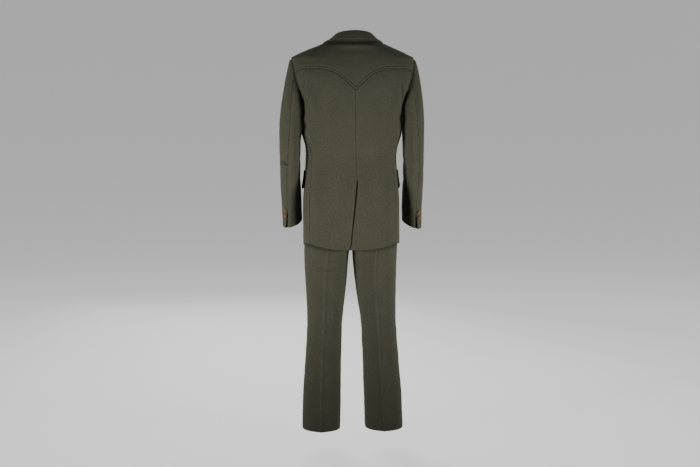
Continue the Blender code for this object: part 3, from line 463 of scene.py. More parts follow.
def makeThread():
    look = threadLook
    material, tree = newMaterial("spun polyester thread")
    place = addNode(tree, "ShaderNodeTexCoord")
    fibres = addNode(
        tree, "ShaderNodeTexNoise", {"Scale": look["fibre"], "Detail": 1.0}, [("Vector", place, "Object")])
    shade = addNode(
        tree, "ShaderNodeMix", {"data_type": "RGBA", 6: toLinear(look["dark"]), 7: toLinear(look["light"])},
        [(0, fibres, "Fac")])
    shader = addNode(
        tree, "ShaderNodeBsdfPrincipled", {"Roughness": look["roughness"], "Sheen Weight": look["sheen"]},
        [("Base Color", shade, 2)])
    addNode(tree, "ShaderNodeOutputMaterial", {}, [("Surface", shader, "BSDF")])
    return material


# Moulded polyester made to look like horn: brown with darker streaks, satin from tumbling
hornLook = dict(dark="#432511", light="#7c4a28", drawn=(160, 60, 420), grit=3000.0, roughness=0.34, coat=0.15)


def makeHorn():
    look = hornLook
    material, tree = newMaterial("polyester horn")
    place = addNode(tree, "ShaderNodeTexCoord")
    drawn = addNode(tree, "ShaderNodeMapping", {"Scale": look["drawn"]}, [("Vector", place, "Object")])
    streaks = addNode(
        tree, "ShaderNodeTexNoise", {"Scale": 1.0, "Detail": 4.0, "Distortion": 0.8},
        [("Vector", drawn, "Vector")])
    ramp = addNode(tree, "ShaderNodeValToRGB", {}, [("Fac", streaks, "Fac")])
    for stop, position, colour in zip(ramp.color_ramp.elements, (0.36, 0.66), (look["dark"], look["light"])):
        stop.position, stop.color = position, toLinear(colour)
    grit = addNode(tree, "ShaderNodeTexNoise", {"Scale": look["grit"]}, [("Vector", place, "Object")])
    relief = addNode(tree, "ShaderNodeBump", {"Strength": 0.15, "Distance": 0.00005}, [("Height", grit, "Fac")])
    shader = addNode(
        tree, "ShaderNodeBsdfPrincipled",
        {"Roughness": look["roughness"], "IOR": 1.55, "Coat Weight": look["coat"], "Coat Roughness": 0.25},
        [("Base Color", ramp, "Color"), ("Normal", relief, "Normal")])
    addNode(tree, "ShaderNodeOutputMaterial", {}, [("Surface", shader, "BSDF")])
    return material


wool, thread, horn = makeWool(), makeThread(), makeHorn()
print("materials made")


# The topstitching: how far in it runs, the stitches' pitch, length, width and height, how deep they sink,
# and the groove and the soft roll that they give an edge
topstitch = dict(
    fromEdge=0.0085, pitch=0.0036, long=0.0029, wide=0.00062, high=0.00050, sunk=0.12, uneven=0.12,
    groove=0.0019, grooveWidth=0.0019, swell=0.0012, swellWidth=0.0028, edgeWidth=0.0018,
)
# Worked buttonholes: half the loop's width, and its stitches, which lie across it
buttonholes = dict(half=0.0013, pitch=0.0007, long=0.0021)


def stitchTree():  # one stitch on every point, along its direction and flat on the cloth
    tree = bpy.data.node_groups.new("stitches on points", "GeometryNodeTree")
    sockets = tree.interface
    sockets.new_socket("Geometry", in_out="INPUT", socket_type="NodeSocketGeometry")
    for name in ("Length", "Width", "Height", "Unevenness"):
        sockets.new_socket(name, in_out="INPUT", socket_type="NodeSocketFloat")
    sockets.new_socket("Seed", in_out="INPUT", socket_type="NodeSocketInt")
    sockets.new_socket("Thread", in_out="INPUT", socket_type="NodeSocketMaterial")
    sockets.new_socket("Geometry", in_out="OUTPUT", socket_type="NodeSocketGeometry")
    start = addNode(tree, "NodeGroupInput")
    stitch = addNode(tree, "GeometryNodeMeshUVSphere", {"Segments": 6, "Rings": 5, "Radius": 0.5})
    along = addNode(tree, "GeometryNodeInputNamedAttribute", {"data_type": "FLOAT_VECTOR", "Name": "along"})
    out = addNode(tree, "GeometryNodeInputNamedAttribute", {"data_type": "FLOAT_VECTOR", "Name": "out"})
    turn = addNode(
        tree, "FunctionNodeAxesToRotation", {"primary_axis": "Z", "secondary_axis": "X"},
        [("Primary Axis", out, "Attribute"), ("Secondary Axis", along, "Attribute")])
    size = addNode(
        tree, "ShaderNodeCombineXYZ", {},
        [("X", start, "Length"), ("Y", start, "Width"), ("Z", start, "Height")])
    low = addNode(tree, "ShaderNodeMath", {"operation": "SUBTRACT", 0: 1.0}, [(1, start, "Unevenness")])
    vary = addNode(
        tree, "FunctionNodeRandomValue", {"data_type": "FLOAT", 3: 1.0},
        [(2, low, "Value"), ("Seed", start, "Seed")])
    scale = addNode(
        tree, "ShaderNodeVectorMath", {"operation": "SCALE"}, [("Vector", size, "Vector"), ("Scale", vary, 1)])
    spread = addNode(
        tree, "GeometryNodeInstanceOnPoints", {},
        [("Points", start, "Geometry"), ("Instance", stitch, "Mesh"), ("Rotation", turn, "Rotation"),
         ("Scale", scale, "Vector")])
    real = addNode(tree, "GeometryNodeRealizeInstances", {}, [("Geometry", spread, "Instances")])
    smooth = addNode(tree, "GeometryNodeSetShadeSmooth", {}, [("Geometry", real, "Geometry")])
    dressed = addNode(
        tree, "GeometryNodeSetMaterial", {}, [("Geometry", smooth, "Geometry"), ("Material", start, "Thread")])
    addNode(tree, "NodeGroupOutput", {}, [("Geometry", dressed, "Geometry")])
    return tree


stitchNodes = stitchTree()


def socketOf(tree, name):
    return next(s.identifier for s in tree.interface.items_tree if s.name == name and s.in_out == "INPUT")


def bakeTree(source, name):  # the modifiers' result as a plain mesh on a new object
    depsgraph = bpy.context.evaluated_depsgraph_get()
    mesh = bpy.data.meshes.new_from_object(source.evaluated_get(depsgraph))
    mesh.name = name
    bpy.data.objects.remove(source)
    return addObject(name, mesh)


def alongRun(run, where, values):
    return np.stack([np.interp(where, run, values[:, axis]) for axis in range(3)], -1)


def sewStitches(name, runs, lean="jacket", across=False, pitch=None, long=None, seed=7):
    # Each run is points and the directions out of the cloth. One stitch lies on every pitch of it
    pitch, long = pitch or topstitch["pitch"], long or topstitch["long"]
    spots, alongs, outs = [], [], []
    for points, normals in runs:
        run = runOf(points)
        marks = np.arange(pitch / 2, run[-1], pitch)
        out = unit(alongRun(run, marks, normals))
        along = unit(alongRun(run, marks + 4e-4, points) - alongRun(run, marks - 4e-4, points))
        spots.append(alongRun(run, marks, points))
        alongs.append(np.cross(along, out) if across else along)
        outs.append(out)
    spots, alongs, outs = np.concatenate(spots), np.concatenate(alongs), np.concatenate(outs)
    spots = spots + outs * topstitch["high"] * topstitch["sunk"]
    spots[:, 0] += leanTable(lean, spots[:, 2])
    seeded = addMesh(name + " points", spots, [], thread)
    for label, values in (("along", alongs), ("out", outs)):
        seeded.data.attributes.new(label, "FLOAT_VECTOR", "POINT").data.foreach_set("vector", values.ravel())
    modifier = seeded.modifiers.new("stitches", "NODES")
    modifier.node_group = stitchNodes
    inputs = {
        "Length": long, "Width": topstitch["wide"], "Height": topstitch["high"],
        "Unevenness": topstitch["uneven"], "Seed": seed, "Thread": thread,
    }
    for label, value in inputs.items():
        modifier[socketOf(stitchNodes, label)] = value
    piece = bakeTree(seeded, name)
    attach(piece, "root")
    return piece


def traceLine(points, normals, distance, value=topstitch["fromEdge"]):
    # Where each column of a grid first crosses a distance, as one line
    spots, outs = [], []
    for k in range(points.shape[1]):
        d = distance[:, k] - value
        crossing = np.nonzero((d[:-1] <= 0) & (d[1:] > 0))[0]
        if len(crossing):
            i = crossing[0]
            t = -d[i] / (d[i + 1] - d[i])
            spots.append(mix(points[i, k], points[i + 1, k], t))
            outs.append(mix(normals[i, k], normals[i + 1, k], t))
    return np.array(spots), np.array(outs)


def traceSide(points, normals, distance):  # the same, searching each row from its far end
    return traceLine(*(grid[:, ::-1].swapaxes(0, 1) for grid in (points, normals, distance)))


def swelledEdge(distance):  # the groove that topstitching pulls, and the soft roll beside it
    return (
        -topstitch["groove"] * bump(distance, topstitch["fromEdge"], topstitch["grooveWidth"])
        + topstitch["swell"] * bump(distance, topstitch["fromEdge"] * 0.5, topstitch["swellWidth"])
        - topstitch["swell"] * bump(distance, 0, topstitch["edgeWidth"])
    )


def seamDip(distance, depth=0.0007, width=0.0022):  # the dip of the seam itself
    return -depth * bump(distance, 0, width)


def pressedSeam(distance, ridge=0.0004, puckers=0.0):  # the dip, and the allowance's ridge beside it
    return seamDip(distance) + (ridge + puckers) * bump(distance, 0.005, 0.003)


def puckering(z, height, seed, start=0.0):  # how a seam gathers unevenly along its length
    return height * waver(z * 5, z * 0 + start, seed)


# The backs: the vent's slant, how far its upper side stands off and its lower one rolls in, the columns
# of the underlap, how far the armhole pulls its edge in, the rows that lie under the yoke, how uneven the
# cloth is, how far its seams pucker, and the faint line at the top of the turned hem
backs = dict(
    slant=0.024, stand=0.0046, roll=0.0044, rollWidth=0.0105, cell=0.0045, high=0.60, wide=0.235,
    underlap=(0.045, 0.036, 0.027, 0.018, 0.010, 0.004, 0.0012, 0.0003), pull=0.0032, pullWidth=0.0060,
    allowance=((0.003, 0.0042), (0.010, 0.0045)), uneven=0.0005, puckers=0.00025, hemLine=0.0003, hemDeep=0.036,
    cut=(0.26, 0.65), area=0.130,
    # side, turn, z, half length, half width, lean, height, crispness
    folds=[
        (1, 54, -0.190, 0.050, 0.0150, -22, 0.0045, 2.0), (1, 60, -0.235, 0.030, 0.0150, -12, -0.0035, 2.0),
        (1, 55, -0.285, 0.055, 0.0160, -20, 0.0045, 2.0), (1, 60, -0.350, 0.050, 0.0160, -14, -0.0025, 2.0),
        (-1, 55, -0.200, 0.055, 0.0150, -22, 0.0040, 2.0), (-1, 60, -0.250, 0.034, 0.0150, -14, -0.0035, 2.0),
        (-1, 56, -0.310, 0.055, 0.0160, -18, 0.0040, 2.0),
        # crisp pulls beside the armholes and down to the waist
        (1, 60, -0.188, 0.038, 0.0050, -44, 0.0055, 1.8), (1, 54.8, -0.162, 0.018, 0.0045, -46, -0.0060, 1.8),
        (1, 60, -0.222, 0.027, 0.0065, -31, -0.0060, 1.8), (1, 57.0, -0.242, 0.050, 0.0058, -37, 0.0070, 1.8),
        (1, 57, -0.345, 0.048, 0.0060, 14, 0.0030, 1.8), (1, 60, -0.404, 0.016, 0.0050, 50, -0.0035, 1.8),
        (-1, 52.5, -0.178, 0.034, 0.0060, -27, -0.0055, 1.8), (-1, 49, -0.184, 0.036, 0.0060, -27, 0.0025, 1.8),
        (-1, 58.0, -0.196, 0.034, 0.0055, -40, 0.0050, 1.8), (-1, 76, -0.243, 0.020, 0.0100, 0, 0.0030, 2.0),
        (-1, 66, -0.262, 0.030, 0.0070, -20, -0.0040, 1.8), (-1, 68, -0.310, 0.034, 0.0065, 37, 0.0040, 1.8),
        # the scalloped edge that these pulls give the back beside the sleeves
        (1, 69, -0.211, 0.014, 0.0110, 0, 0.0062, 2.0), (1, 70, -0.246, 0.011, 0.0110, 0, -0.0048, 2.0),
        (1, 72, -0.283, 0.014, 0.0110, 0, 0.0040, 2.0), (1, 68, -0.310, 0.012, 0.0110, 0, -0.0030, 2.0),
        (-1, 66, -0.212, 0.012, 0.0110, 0, -0.0036, 2.0), (-1, 70, -0.241, 0.011, 0.0110, 0, 0.0058, 2.0),
        (-1, 70, -0.280, 0.014, 0.0110, 0, -0.0026, 2.0),
        # soft drags across the small of the back
        (1, 24, -0.408, 0.075, 0.0070, 68, 0.0011, 1.6), (1, 27, -0.424, 0.070, 0.0080, 70, -0.0011, 1.7),
        (1, 38, -0.395, 0.040, 0.0090, 55, 0.0010, 1.8), (1, 18, -0.455, 0.085, 0.0100, 86, -0.0009, 1.8),
        (1, 22, -0.488, 0.080, 0.0110, 94, 0.0008, 1.8), (1, 30, -0.535, 0.070, 0.0120, 88, -0.0008, 1.8),
        (-1, 26, -0.420, 0.060, 0.0090, 74, 0.0009, 1.7), (-1, 30, -0.442, 0.065, 0.0090, 78, -0.0009, 1.7),
        (-1, 20, -0.486, 0.070, 0.0110, 96, -0.0007, 1.8), (-1, 38, -0.365, 0.035, 0.0080, 20, -0.0012, 1.8),
        # long drapes below the yoke
        (1, 34, -0.240, 0.090, 0.0180, 6, 0.0012, 2.0), (-1, 38, -0.240, 0.090, 0.0180, 8, 0.0013, 2.0),
        (1, 44, -0.210, 0.060, 0.0120, 10, -0.0013, 2.0), (-1, 46, -0.220, 0.070, 0.0120, 8, -0.0013, 2.0),
        (-1, 30, -0.620, 0.085, 0.0220, 4, 0.0012, 2.0), (1, 40, -0.640, 0.085, 0.0200, -6, 0.0012, 2.0),
    ],
)
yokeEdge = readTable("share z", [
    (0.00, -0.1749), (0.03, -0.1694), (0.07, -0.1588), (0.14, -0.1405), (0.21, -0.1238), (0.29, -0.1113),
    (0.37, -0.1037), (0.45, -0.0997), (0.58, -0.0982), (0.73, -0.0993), (0.83, -0.1029), (0.95, -0.1110),
    (1.00, -0.1172),
])
yokeLow = float(yokeEdge("z", 1.0))
backSide = yokeLow - heights["hemSide"]
backMiddle = float(yokeEdge("z", 0.0)) - heights["hemBack"]
ventShare = (heights["ventTop"] - heights["hemBack"]) / backMiddle
# How far the middle seam wanders to the right on its way down
middleTable = readTable("z x", [
    (-0.757, 0.0078), (-0.611, 0.0101), (-0.500, 0.0110), (-0.40, 0.0080), (-0.28, 0.0030), (-0.175, 0),
])


def makeBack(side):
    look = backs
    rows, columns, under = spaced(look["high"], look["cell"]), spaced(look["wide"], look["cell"]), np.zeros(0)
    if side < 0:  # the right side has the vent's underlap
        rows = denser(rows, ventShare, 0.003, [ventShare - 0.0004, ventShare + 0.0012])
        under = np.array(look["underlap"])
    shareUp, share = rowsAndColumns(rows, np.concatenate([-np.arange(len(under), 0, -1), columns]))
    lap = np.where(share < 0, -share, 0).astype(int)
    share = np.maximum(share, 0)
    sideZ = heights["hemSide"] + shareUp * backSide
    hem = mix(heights["hemBack"], heights["hemSide"], share**2)
    z = mix(hem, yokeEdge("z", share), shareUp)
    end = sideEdge(sideZ, "back")
    down = np.clip((heights["ventTop"] - z) / (heights["ventTop"] - heights["hemBack"]), 0, 1)
    radius = torsoTable("halfWidth", z)
    middle = -side * middleTable("x", z) / radius
    if side > 0:
        start = down[:, :1] * look["slant"] / radius + middle
        turn = start + share * (end - start)
        lift = look["stand"] * ease(0, 0.12, down) * (1 - 0.5 * down) * (1 - ease(0, 0.20, share))
        lift = lift - 0.0009 * bump(share * look["wide"], 0, 0.003) * ease(0.0, 0.1, down)
    else:
        inVent = shareUp < ventShare
        reach = np.concatenate([[0], under[::-1]])[lap]
        squeezed = 0.00045 - 0.00005 * lap  # above the vent the underlap closes up behind the seam
        turn = np.maximum(middle + share * (end - middle), 0.0005 / radius + middle)
        turn = np.where(lap > 0, np.where(inVent, -reach, squeezed) / radius + middle, turn)
        # below the vent's top this side rolls in under the other one
        past = turn * radius + down * look["slant"] - middle * radius
        sink = look["roll"] * mix(0.8, 1, ease(0, 0.3, down)) * mix(1, 0.6, ease(0.4, 1, down))
        sink = sink * ease(look["rollWidth"], 0, past)
        lift = -sink * np.where(inVent, ease(0, 0.006, heights["ventTop"] - z), 0)
        lift = lift - np.where(lap > 0, np.where(inVent, 0.0015 * reach / under[0], 0.0028), 0)
    seamFree = ease(0, 0.02, share)
    folds = foldLift(look["folds"], side, turn, z, radius) * ease(1.0, 0.93, shareUp)
    lift = lift + folds * mix(0.4, 1, seamFree)
    lift = lift + look["uneven"] * waver(turn * radius, z, 3 + side) * seamFree
    fromSide, fromMiddle = (end - turn) * radius, (turn - middle) * radius
    puckers = puckering(z, look["puckers"], 11, 0.01)
    lift = lift + pressedSeam(fromSide, 0.0004, puckers)
    lift = lift + ease(0, 0.02, z - heights["ventTop"]) * pressedSeam(fromMiddle, 0.0003, puckers)
    byArmhole = ease(heights["armpit"] - 0.02, heights["armpit"] + 0.03, z)
    lift = lift - look["pull"] * byArmhole * bump(fromSide, 0, look["pullWidth"])
    lift = lift + seamDip(yokeEdge("z", share) - z, 0.0020, 0.003)
    lift = lift - look["hemLine"] * bump(z - hem, look["hemDeep"], 0.004)
    points, normals = torso(side, turn, z, lift)
    for up, deep in look["allowance"]:
        points = np.concatenate([points, torso(side, turn[-1:], z[-1:] + up, -deep)[0]])
        normals = np.concatenate([normals, normals[-1:]])
    node = "back_" + sideName(side)
    piece = clothWall(node + "_cloth", points, normals, column=len(under))
    wear(piece, node)


# The yoke: how far it stands on the backs, the shadow that the collar throws on it, how far the armholes
# pull its ends in, and its rows in millimetres from the lower edge to above the stitching
yoke = dict(
    step=0.0016, shadow=0.5, pull=0.0026, pullWidth=0.0065, half=0.255, cell=0.0040,
    edgeRows=(0, 0.6, 1.4, 2.4, 3.6, 5.0, 6.2, 7.2, 8.0, 8.8, 9.6, 10.8, 12.5, 15),
    uneven=0.0004, cut=(0.50, 0.21), area=0.068,
    folds=[
        (1, 0, -0.034, 0.070, 0.0110, 90, -0.0030, 2.0), (-1, 0, -0.034, 0.070, 0.0110, 90, -0.0030, 2.0),
        (1, 0, -0.017, 0.060, 0.0080, 90, 0.0010, 2.0), (-1, 0, -0.017, 0.060, 0.0080, 90, 0.0010, 2.0),
        # the hollow under the collar's edge
        (1, 0, -0.0045, 0.080, 0.0048, 90, -0.0050, 2.0), (-1, 0, -0.0045, 0.080, 0.0048, 90, -0.0050, 2.0),
        (-1, 34, -0.052, 0.060, 0.0100, 66, 0.0014, 1.9),
        (-1, 30, -0.066, 0.060, 0.0100, 62, -0.0012, 1.9), (1, 52, -0.074, 0.045, 0.0110, 74, -0.0010, 1.9),
        (1, 46, -0.060, 0.050, 0.0120, 70, 0.0012, 1.9), (-1, 62, -0.080, 0.030, 0.0100, 70, -0.0010, 1.9),
    ],
)


def makeYoke():
    look = yoke
    half = spaced(look["half"], look["cell"], fineEnds)
    across = np.concatenate([-half[:0:-1], half])
    edge = yokeEdge("z", np.abs(across))
    stretch = np.sqrt(1 + np.gradient(edge, across * backs["wide"]) ** 2)
    neck = heights["nape"] * np.cos(np.abs(across) * math.pi / 2) ** 2
    byEdge = [edge + distance / 1000 * stretch for distance in look["edgeRows"]]
    z = np.array(byEdge + [mix(byEdge[-1], neck, t) for t in np.linspace(0, 1, 44)[1:]])
    share = np.broadcast_to(across, z.shape)
    isLeft, share = share >= 0, np.abs(share)
    # each row's height at its end decides where it meets the armhole or the shoulder seam
    turn = share * sideEdge(np.minimum(z[:, -1:], 0), "back")
    radius = torsoTable("halfWidth", z)
    base = torso(1, turn, z, look["step"])[0] * np.where(isLeft[..., None], 1, (-1, 1, 1))
    fromEdge = toEdge(base, base[0])
    fromEnds = np.minimum(toEdge(base, base[:, -1]), toEdge(base, base[:, 0]))
    folds = [foldLift(look["folds"], side, turn, z, radius) for side in (1, -1)]
    lift = look["step"] + np.where(isLeft, *folds) * ease(0.006, 0.020, fromEdge) + swelledEdge(fromEdge)
    uneven = look["uneven"] * waver(turn * radius * np.where(isLeft, 1, -1), z, 21)
    lift = lift + uneven * ease(0.005, 0.02, fromEdge)
    lift = lift + seamDip(fromEnds) + 0.0005 * bump(fromEnds, 0.0045, 0.003)
    below = ease(heights["shoulderTip"] + 0.01, heights["shoulderTip"] - 0.01, z)
    lift = lift - look["pull"] * bump(fromEnds, 0, look["pullWidth"]) * below
    left, right = torso(1, turn, z, lift), torso(-1, turn, z, lift)
    points, normals = (np.where(isLeft[..., None], *pair) for pair in zip(left, right))
    shade = 1 - look["shadow"] * ease(-0.021, -0.009, points[..., 2])
    piece = clothWall("back_yoke_cloth", points, normals, column=points.shape[1] // 2, shade=shade)
    stitches = sewStitches("yoke_topstitching", [traceLine(points, normals, fromEdge)])
    wear(piece, "back_yoke")


makeYoke()
makeBack(1)
makeBack(-1)
print("back and yoke made")


# The fronts: the buttonholes' heights, their distance from the middle and their length
fronts = dict(
    buttonholes=(-0.405, -0.505), holeX=0.008, holeLong=0.023, wide=0.30, cell=0.0046, uneven=0.0004,
    cut=(0.30, 0.73), area=0.209,
    folds=[
        (1, 112, -0.340, 0.060, 0.0160, 20, 0.0030, 2.0), (-1, 112, -0.345, 0.060, 0.0160, 20, 0.0030, 2.0),
        (1, 98, -0.440, 0.045, 0.0150, 10, 0.0035, 2.0), (-1, 98, -0.445, 0.045, 0.0150, 10, 0.0030, 2.0),
        (1, 150, -0.405, 0.070, 0.0100, 62, 0.0018, 1.8), (-1, 150, -0.410, 0.070, 0.0100, 62, 0.0018, 1.8),
        (1, 146, -0.425, 0.070, 0.0100, 66, -0.0015, 1.8), (-1, 146, -0.430, 0.070, 0.0100, 66, -0.0015, 1.8),
        (1, 120, -0.200, 0.060, 0.0120, -20, 0.0018, 1.8), (-1, 120, -0.205, 0.060, 0.0120, -20, 0.0018, 1.8),
        (1, 155, -0.520, 0.060, 0.0120, 74, -0.0012, 1.9), (-1, 152, -0.530, 0.060, 0.0120, 74, -0.0012, 1.9),
    ],
)
frontEdge = readTable("z x", [
    (-0.727, 0.035), (-0.698, 0.016), (-0.660, 0.002), (-0.612, -0.010), (-0.570, -0.018), (-0.520, -0.020),
    (-0.400, -0.020), (-0.230, 0.018), (-0.062, 0.0530), (-0.040, 0.0665), (-0.018, 0.0755), (0.000, 0.0800),
])
hemDrop = readTable("share z", [
    (0, 0), (0.31, -0.009), (0.53, -0.020), (0.74, -0.026), (0.84, -0.023), (0.92, -0.013),
    (0.965, -0.003), (1, 0.010),
])


def frontLift(side, turn, z):  # the left front lies over the right one
    if side < 0:
        return 0 * turn
    lap = ease(math.pi - 0.36, math.pi - 0.17, turn) * ease(-0.200, -0.300, z)
    return (cloth["thick"] + cloth["layer"]) * lap


def sewButtonhole(name, surface, x, z, long, lean=0.0):
    # A narrow loop about a slit, on a surface that answers for sideways and up
    t = np.linspace(0, 2 * math.pi, 49)
    u = np.clip(0.62 * np.cos(t), -0.5, 0.5) * long
    v = buttonholes["half"] * np.sign(np.sin(t)) * np.abs(np.sin(t)) ** 0.5
    loop = surface(x + u * math.cos(lean) - v * math.sin(lean), z + u * math.sin(lean) + v * math.cos(lean))
    return sewStitches(name, [loop], across=True, pitch=buttonholes["pitch"], long=buttonholes["long"])


def frontSurface(x, z):  # the left front, as sewn down to its folds
    turn = frontTurn(x, z)
    folds = foldLift(fronts["folds"], 1, turn, z, torsoTable("halfWidth", z))
    return torso(1, turn, z, frontLift(1, turn, z) + folds)


def makeFront(side):
    look = fronts
    below = np.linspace(heights["hemSide"], heights["armpit"], 104)
    hole = heights["armpit"] + armholeHalf * (1 - np.cos(np.linspace(0, math.pi, 52)[1:]))
    above = np.linspace(heights["shoulderTip"], 0, 16)[1:]
    byHem = below[:1] + (below[1] - below[0]) * np.array([0.15, 0.4])
    rows = np.concatenate([below[:1], byHem, below[1:], hole, above])
    sideZ, share = rowsAndColumns(rows, spaced(look["wide"], look["cell"]))
    z = sideZ + hemDrop("z", share) * ease(-0.60, heights["hemSide"], sideZ)
    start = sideEdge(sideZ, "front")
    end = frontTurn(frontEdge("x", z[:, -1:]), z[:, -1:])
    turn = mix(start, end, share)
    radius = torsoTable("halfWidth", z)
    base, _ = torso(side, turn, z)
    shown = z[:, -1] < heights["lapelBreak"]
    fromEdge = toEdge(base, np.concatenate([base[0, 1:], base[shown, -1]]))
    byFront = toEdge(base, base[shown, -1])
    lift = frontLift(side, turn, z) + foldLift(look["folds"], side, turn, z, radius)
    lift = lift + look["uneven"] * waver(turn * radius, z, 31 + side) * ease(0.004, 0.02, fromEdge)
    lift = lift + pressedSeam((turn - start) * radius) + swelledEdge(byFront)
    points, normals = torso(side, turn, z, lift)
    node = "front_" + sideName(side)
    piece = clothWall(node + "_cloth", points, normals, column=points.shape[1] // 2)
    line, out = traceSide(points, normals, byFront)
    keep = line[:, 2] < heights["lapelBreak"] - 0.004
    trims = [sewStitches(node + "_topstitching", [(line[keep], out[keep])])]
    if side > 0:
        for number, height in enumerate(look["buttonholes"]):
            name = f"front_buttonhole_{number + 1}"
            trims.append(sewButtonhole(name, frontSurface, look["holeX"], height, look["holeLong"]))
    wear(piece, node)


for side in (1, -1):
    makeFront(side)
print("fronts made")


# The lapels: their puff, the roll line's place at the neck and its slope, where the right one ends under
# the left front, and the buttonhole's place, length and slant
lapels = dict(
    puff=0.0035, rightFoot=-0.352, slope=0.225, atNeck=0.070, high=0.32, wide=0.085, cellUp=0.0046, cell=0.0032,
    edgeColumns=(0.0007, 0.0016, 0.003, 0.005, 0.0066, 0.0077, 0.0085, 0.0093, 0.0104),
    buttonhole=(0.113, -0.134, 0.022, -0.32), cut=(0.12, 0.33), area=0.0225,
)
lapelEdge = readTable("z x", [
    (-0.400, -0.0150), (-0.360, 0.016), (-0.300, 0.053), (-0.240, 0.087), (-0.180, 0.117), (-0.130, 0.1365),
    (-0.100, 0.143),
])
gorge = readTable("share z", [(0, -0.0600), (0.2, -0.0725), (0.4, -0.0850), (0.7, -0.0970), (1, -0.109)])


def lapelLift(side, turn, z, share):  # over the front, and puffed between the roll line and the edge
    return frontLift(side, turn, z) + cloth["thick"] + cloth["layer"] + lapels["puff"] * np.sin(math.pi * share)


def lapelRoll(z):
    return lapels["atNeck"] + lapels["slope"] * z


def lapelSurface(x, z):
    turn = frontTurn(x, z)
    share = (x - lapelRoll(z)) / (lapelEdge("x", z) - lapelRoll(z))
    return torso(1, turn, z, lapelLift(1, turn, z, share))


def makeLapel(side):
    look = lapels
    rows = spaced(look["high"], look["cellUp"], fineEnds)
    columns = spaced(look["wide"], look["cell"], look["edgeColumns"])
    shareUp, share = rowsAndColumns(rows, columns)
    foot = heights["lapelBreak"] + 0.002 if side > 0 else look["rightFoot"]
    z = mix(foot, gorge("z", share), shareUp)
    roll = lapelRoll(z)
    if side < 0:
        roll = np.maximum(roll, 0.002 - frontEdge("x", z))
    turn = frontTurn(mix(roll, lapelEdge("x", z), share), z)
    flat = lapelLift(side, turn, z, 0 * share)
    lift = flat + look["puff"] * np.sin(math.pi * share) * ease(0, 0.25, shareUp)
    base, _ = torso(side, turn, z, lift)
    fromEdge = toEdge(base, np.concatenate([base[:, -1], base[-1, ::-1]]))
    lift = lift + swelledEdge(fromEdge) * ease(0.0, 0.12, shareUp)
    lift = lift - 0.0012 * bump(share * look["wide"], 0, 0.006) * ease(0.1, 0.3, shareUp)
    points, normals = torso(side, turn, z, lift)
    node = "lapel_" + sideName(side)
    piece = clothWall(node + "_cloth", points, normals)
    trims = [sewStitches(node + "_topstitching", [traceSide(points, normals, toEdge(base, base[:, -1]))])]
    if side > 0:
        trims.append(sewButtonhole("lapel_buttonhole", lapelSurface, *look["buttonhole"]))
    wear(piece, node)


for side in (1, -1):
    makeLapel(side)
print("lapels made")


# The collar: its foot, its roll and its edge at ten stations from the middle of the back to the lapel. The
# stand's allowance goes down inside the neck, so that no light shows under it
collar = dict(
    swell=0.6, allowance=((0.003, 0.0050), (0.011, 0.0060)), uneven=0.0003, cut=(0.52, 0.09), area=0.040,
)
collarTable = readTable(
    "station footTurn footZ footLift rollTurn rollZ rollLift edgeTurn edgeZ edgeLift bend puff cut", [
        (0, 0, 0.0138, 0.0000, 0, 0.0366, 0.0025, 0, -0.0022, 0.0066, 0.0030, 0.0020, 0),
        (1, 24, 0.0128, 0.0000, 24, 0.0352, 0.0020, 24, -0.0026, 0.0062, 0.0030, 0.0012, 0),
        (2, 48, 0.0105, 0.0000, 50, 0.0318, 0.0015, 48, -0.0036, 0.0050, 0.0030, 0.0002, 0),
        (3, 70, 0.0080, -0.0005, 74, 0.0262, 0.0010, 68, -0.0052, 0.0040, 0.0028, -0.0012, 0),
        (4, 90, 0.0052, -0.0010, 94, 0.0190, 0.0010, 88, -0.0068, 0.0038, 0.0026, -0.0016, 0),
        (5, 112, 0.0020, -0.0010, 114, 0.0110, 0.0010, 108, -0.0110, 0.0038, 0.0026, 0.0000, 0),
        (6, 137, -0.0090, -0.0010, 132, -0.0035, 0.0030, 124, -0.0200, 0.0042, 0.0026, 0.0030, 0),
        (7, 153, -0.0260, -0.0010, 153.6, -0.0245, 0.0038, 136.5, -0.0360, 0.0042, 0.0024, 0.0025, 0),
        (8, 162.5, -0.0460, -0.0010, 163.1, -0.0440, 0.0040, 145.5, -0.0540, 0.0042, 0.0024, 0.0015, 0.006),
        (9, 166.2, -0.0560, -0.0010, 166.8, -0.0550, 0.0040, 149.4, -0.0700, 0.0042, 0.0024, 0.0010, 0.020),
    ])


def smoothed(points, shares):  # a smooth line through points, at shares of its length
    run = runOf(points)
    table = readTable("run x y z", [(r, *p) for r, p in zip(run, points)])
    return np.stack([table(axis, shares * run[-1]) for axis in "xyz"], -1)


def collarSection(station, shares):  # up the stand, over the roll and down the fall
    side, place = (1 if station >= 0 else -1), abs(station)
    spots = []
    for spot in ("foot", "edge", "roll"):
        turn = math.radians(collarTable(spot + "Turn", place))
        point, out = torso(side, turn, collarTable(spot + "Z", place), collarTable(spot + "Lift", place))
        spots.append(point)
    foot, edge, roll = spots
    up = roll - (foot + edge) / 2
    out = unit(out - up * (out @ up) / (up @ up))
    up = unit(up)
    bend = collarTable("bend", place)
    angles = np.radians(np.arange(-90, 91, 30))
    turned = [roll + bend * (out * math.sin(a) + up * (math.cos(a) - 1)) for a in angles]
    middle = mix(turned[-1], edge, 0.5) + collarTable("cut", place) * np.array([0, -0.45, -1])
    fall = [mix(turned[-1], middle, 0.5), middle, mix(middle, edge, 0.5), edge]
    puff = collarTable("puff", place) * np.array([0.7, 1, 0.7, 0])
    return smoothed(np.array([foot, *turned, *(fall + out * puff[:, None])]), shares)


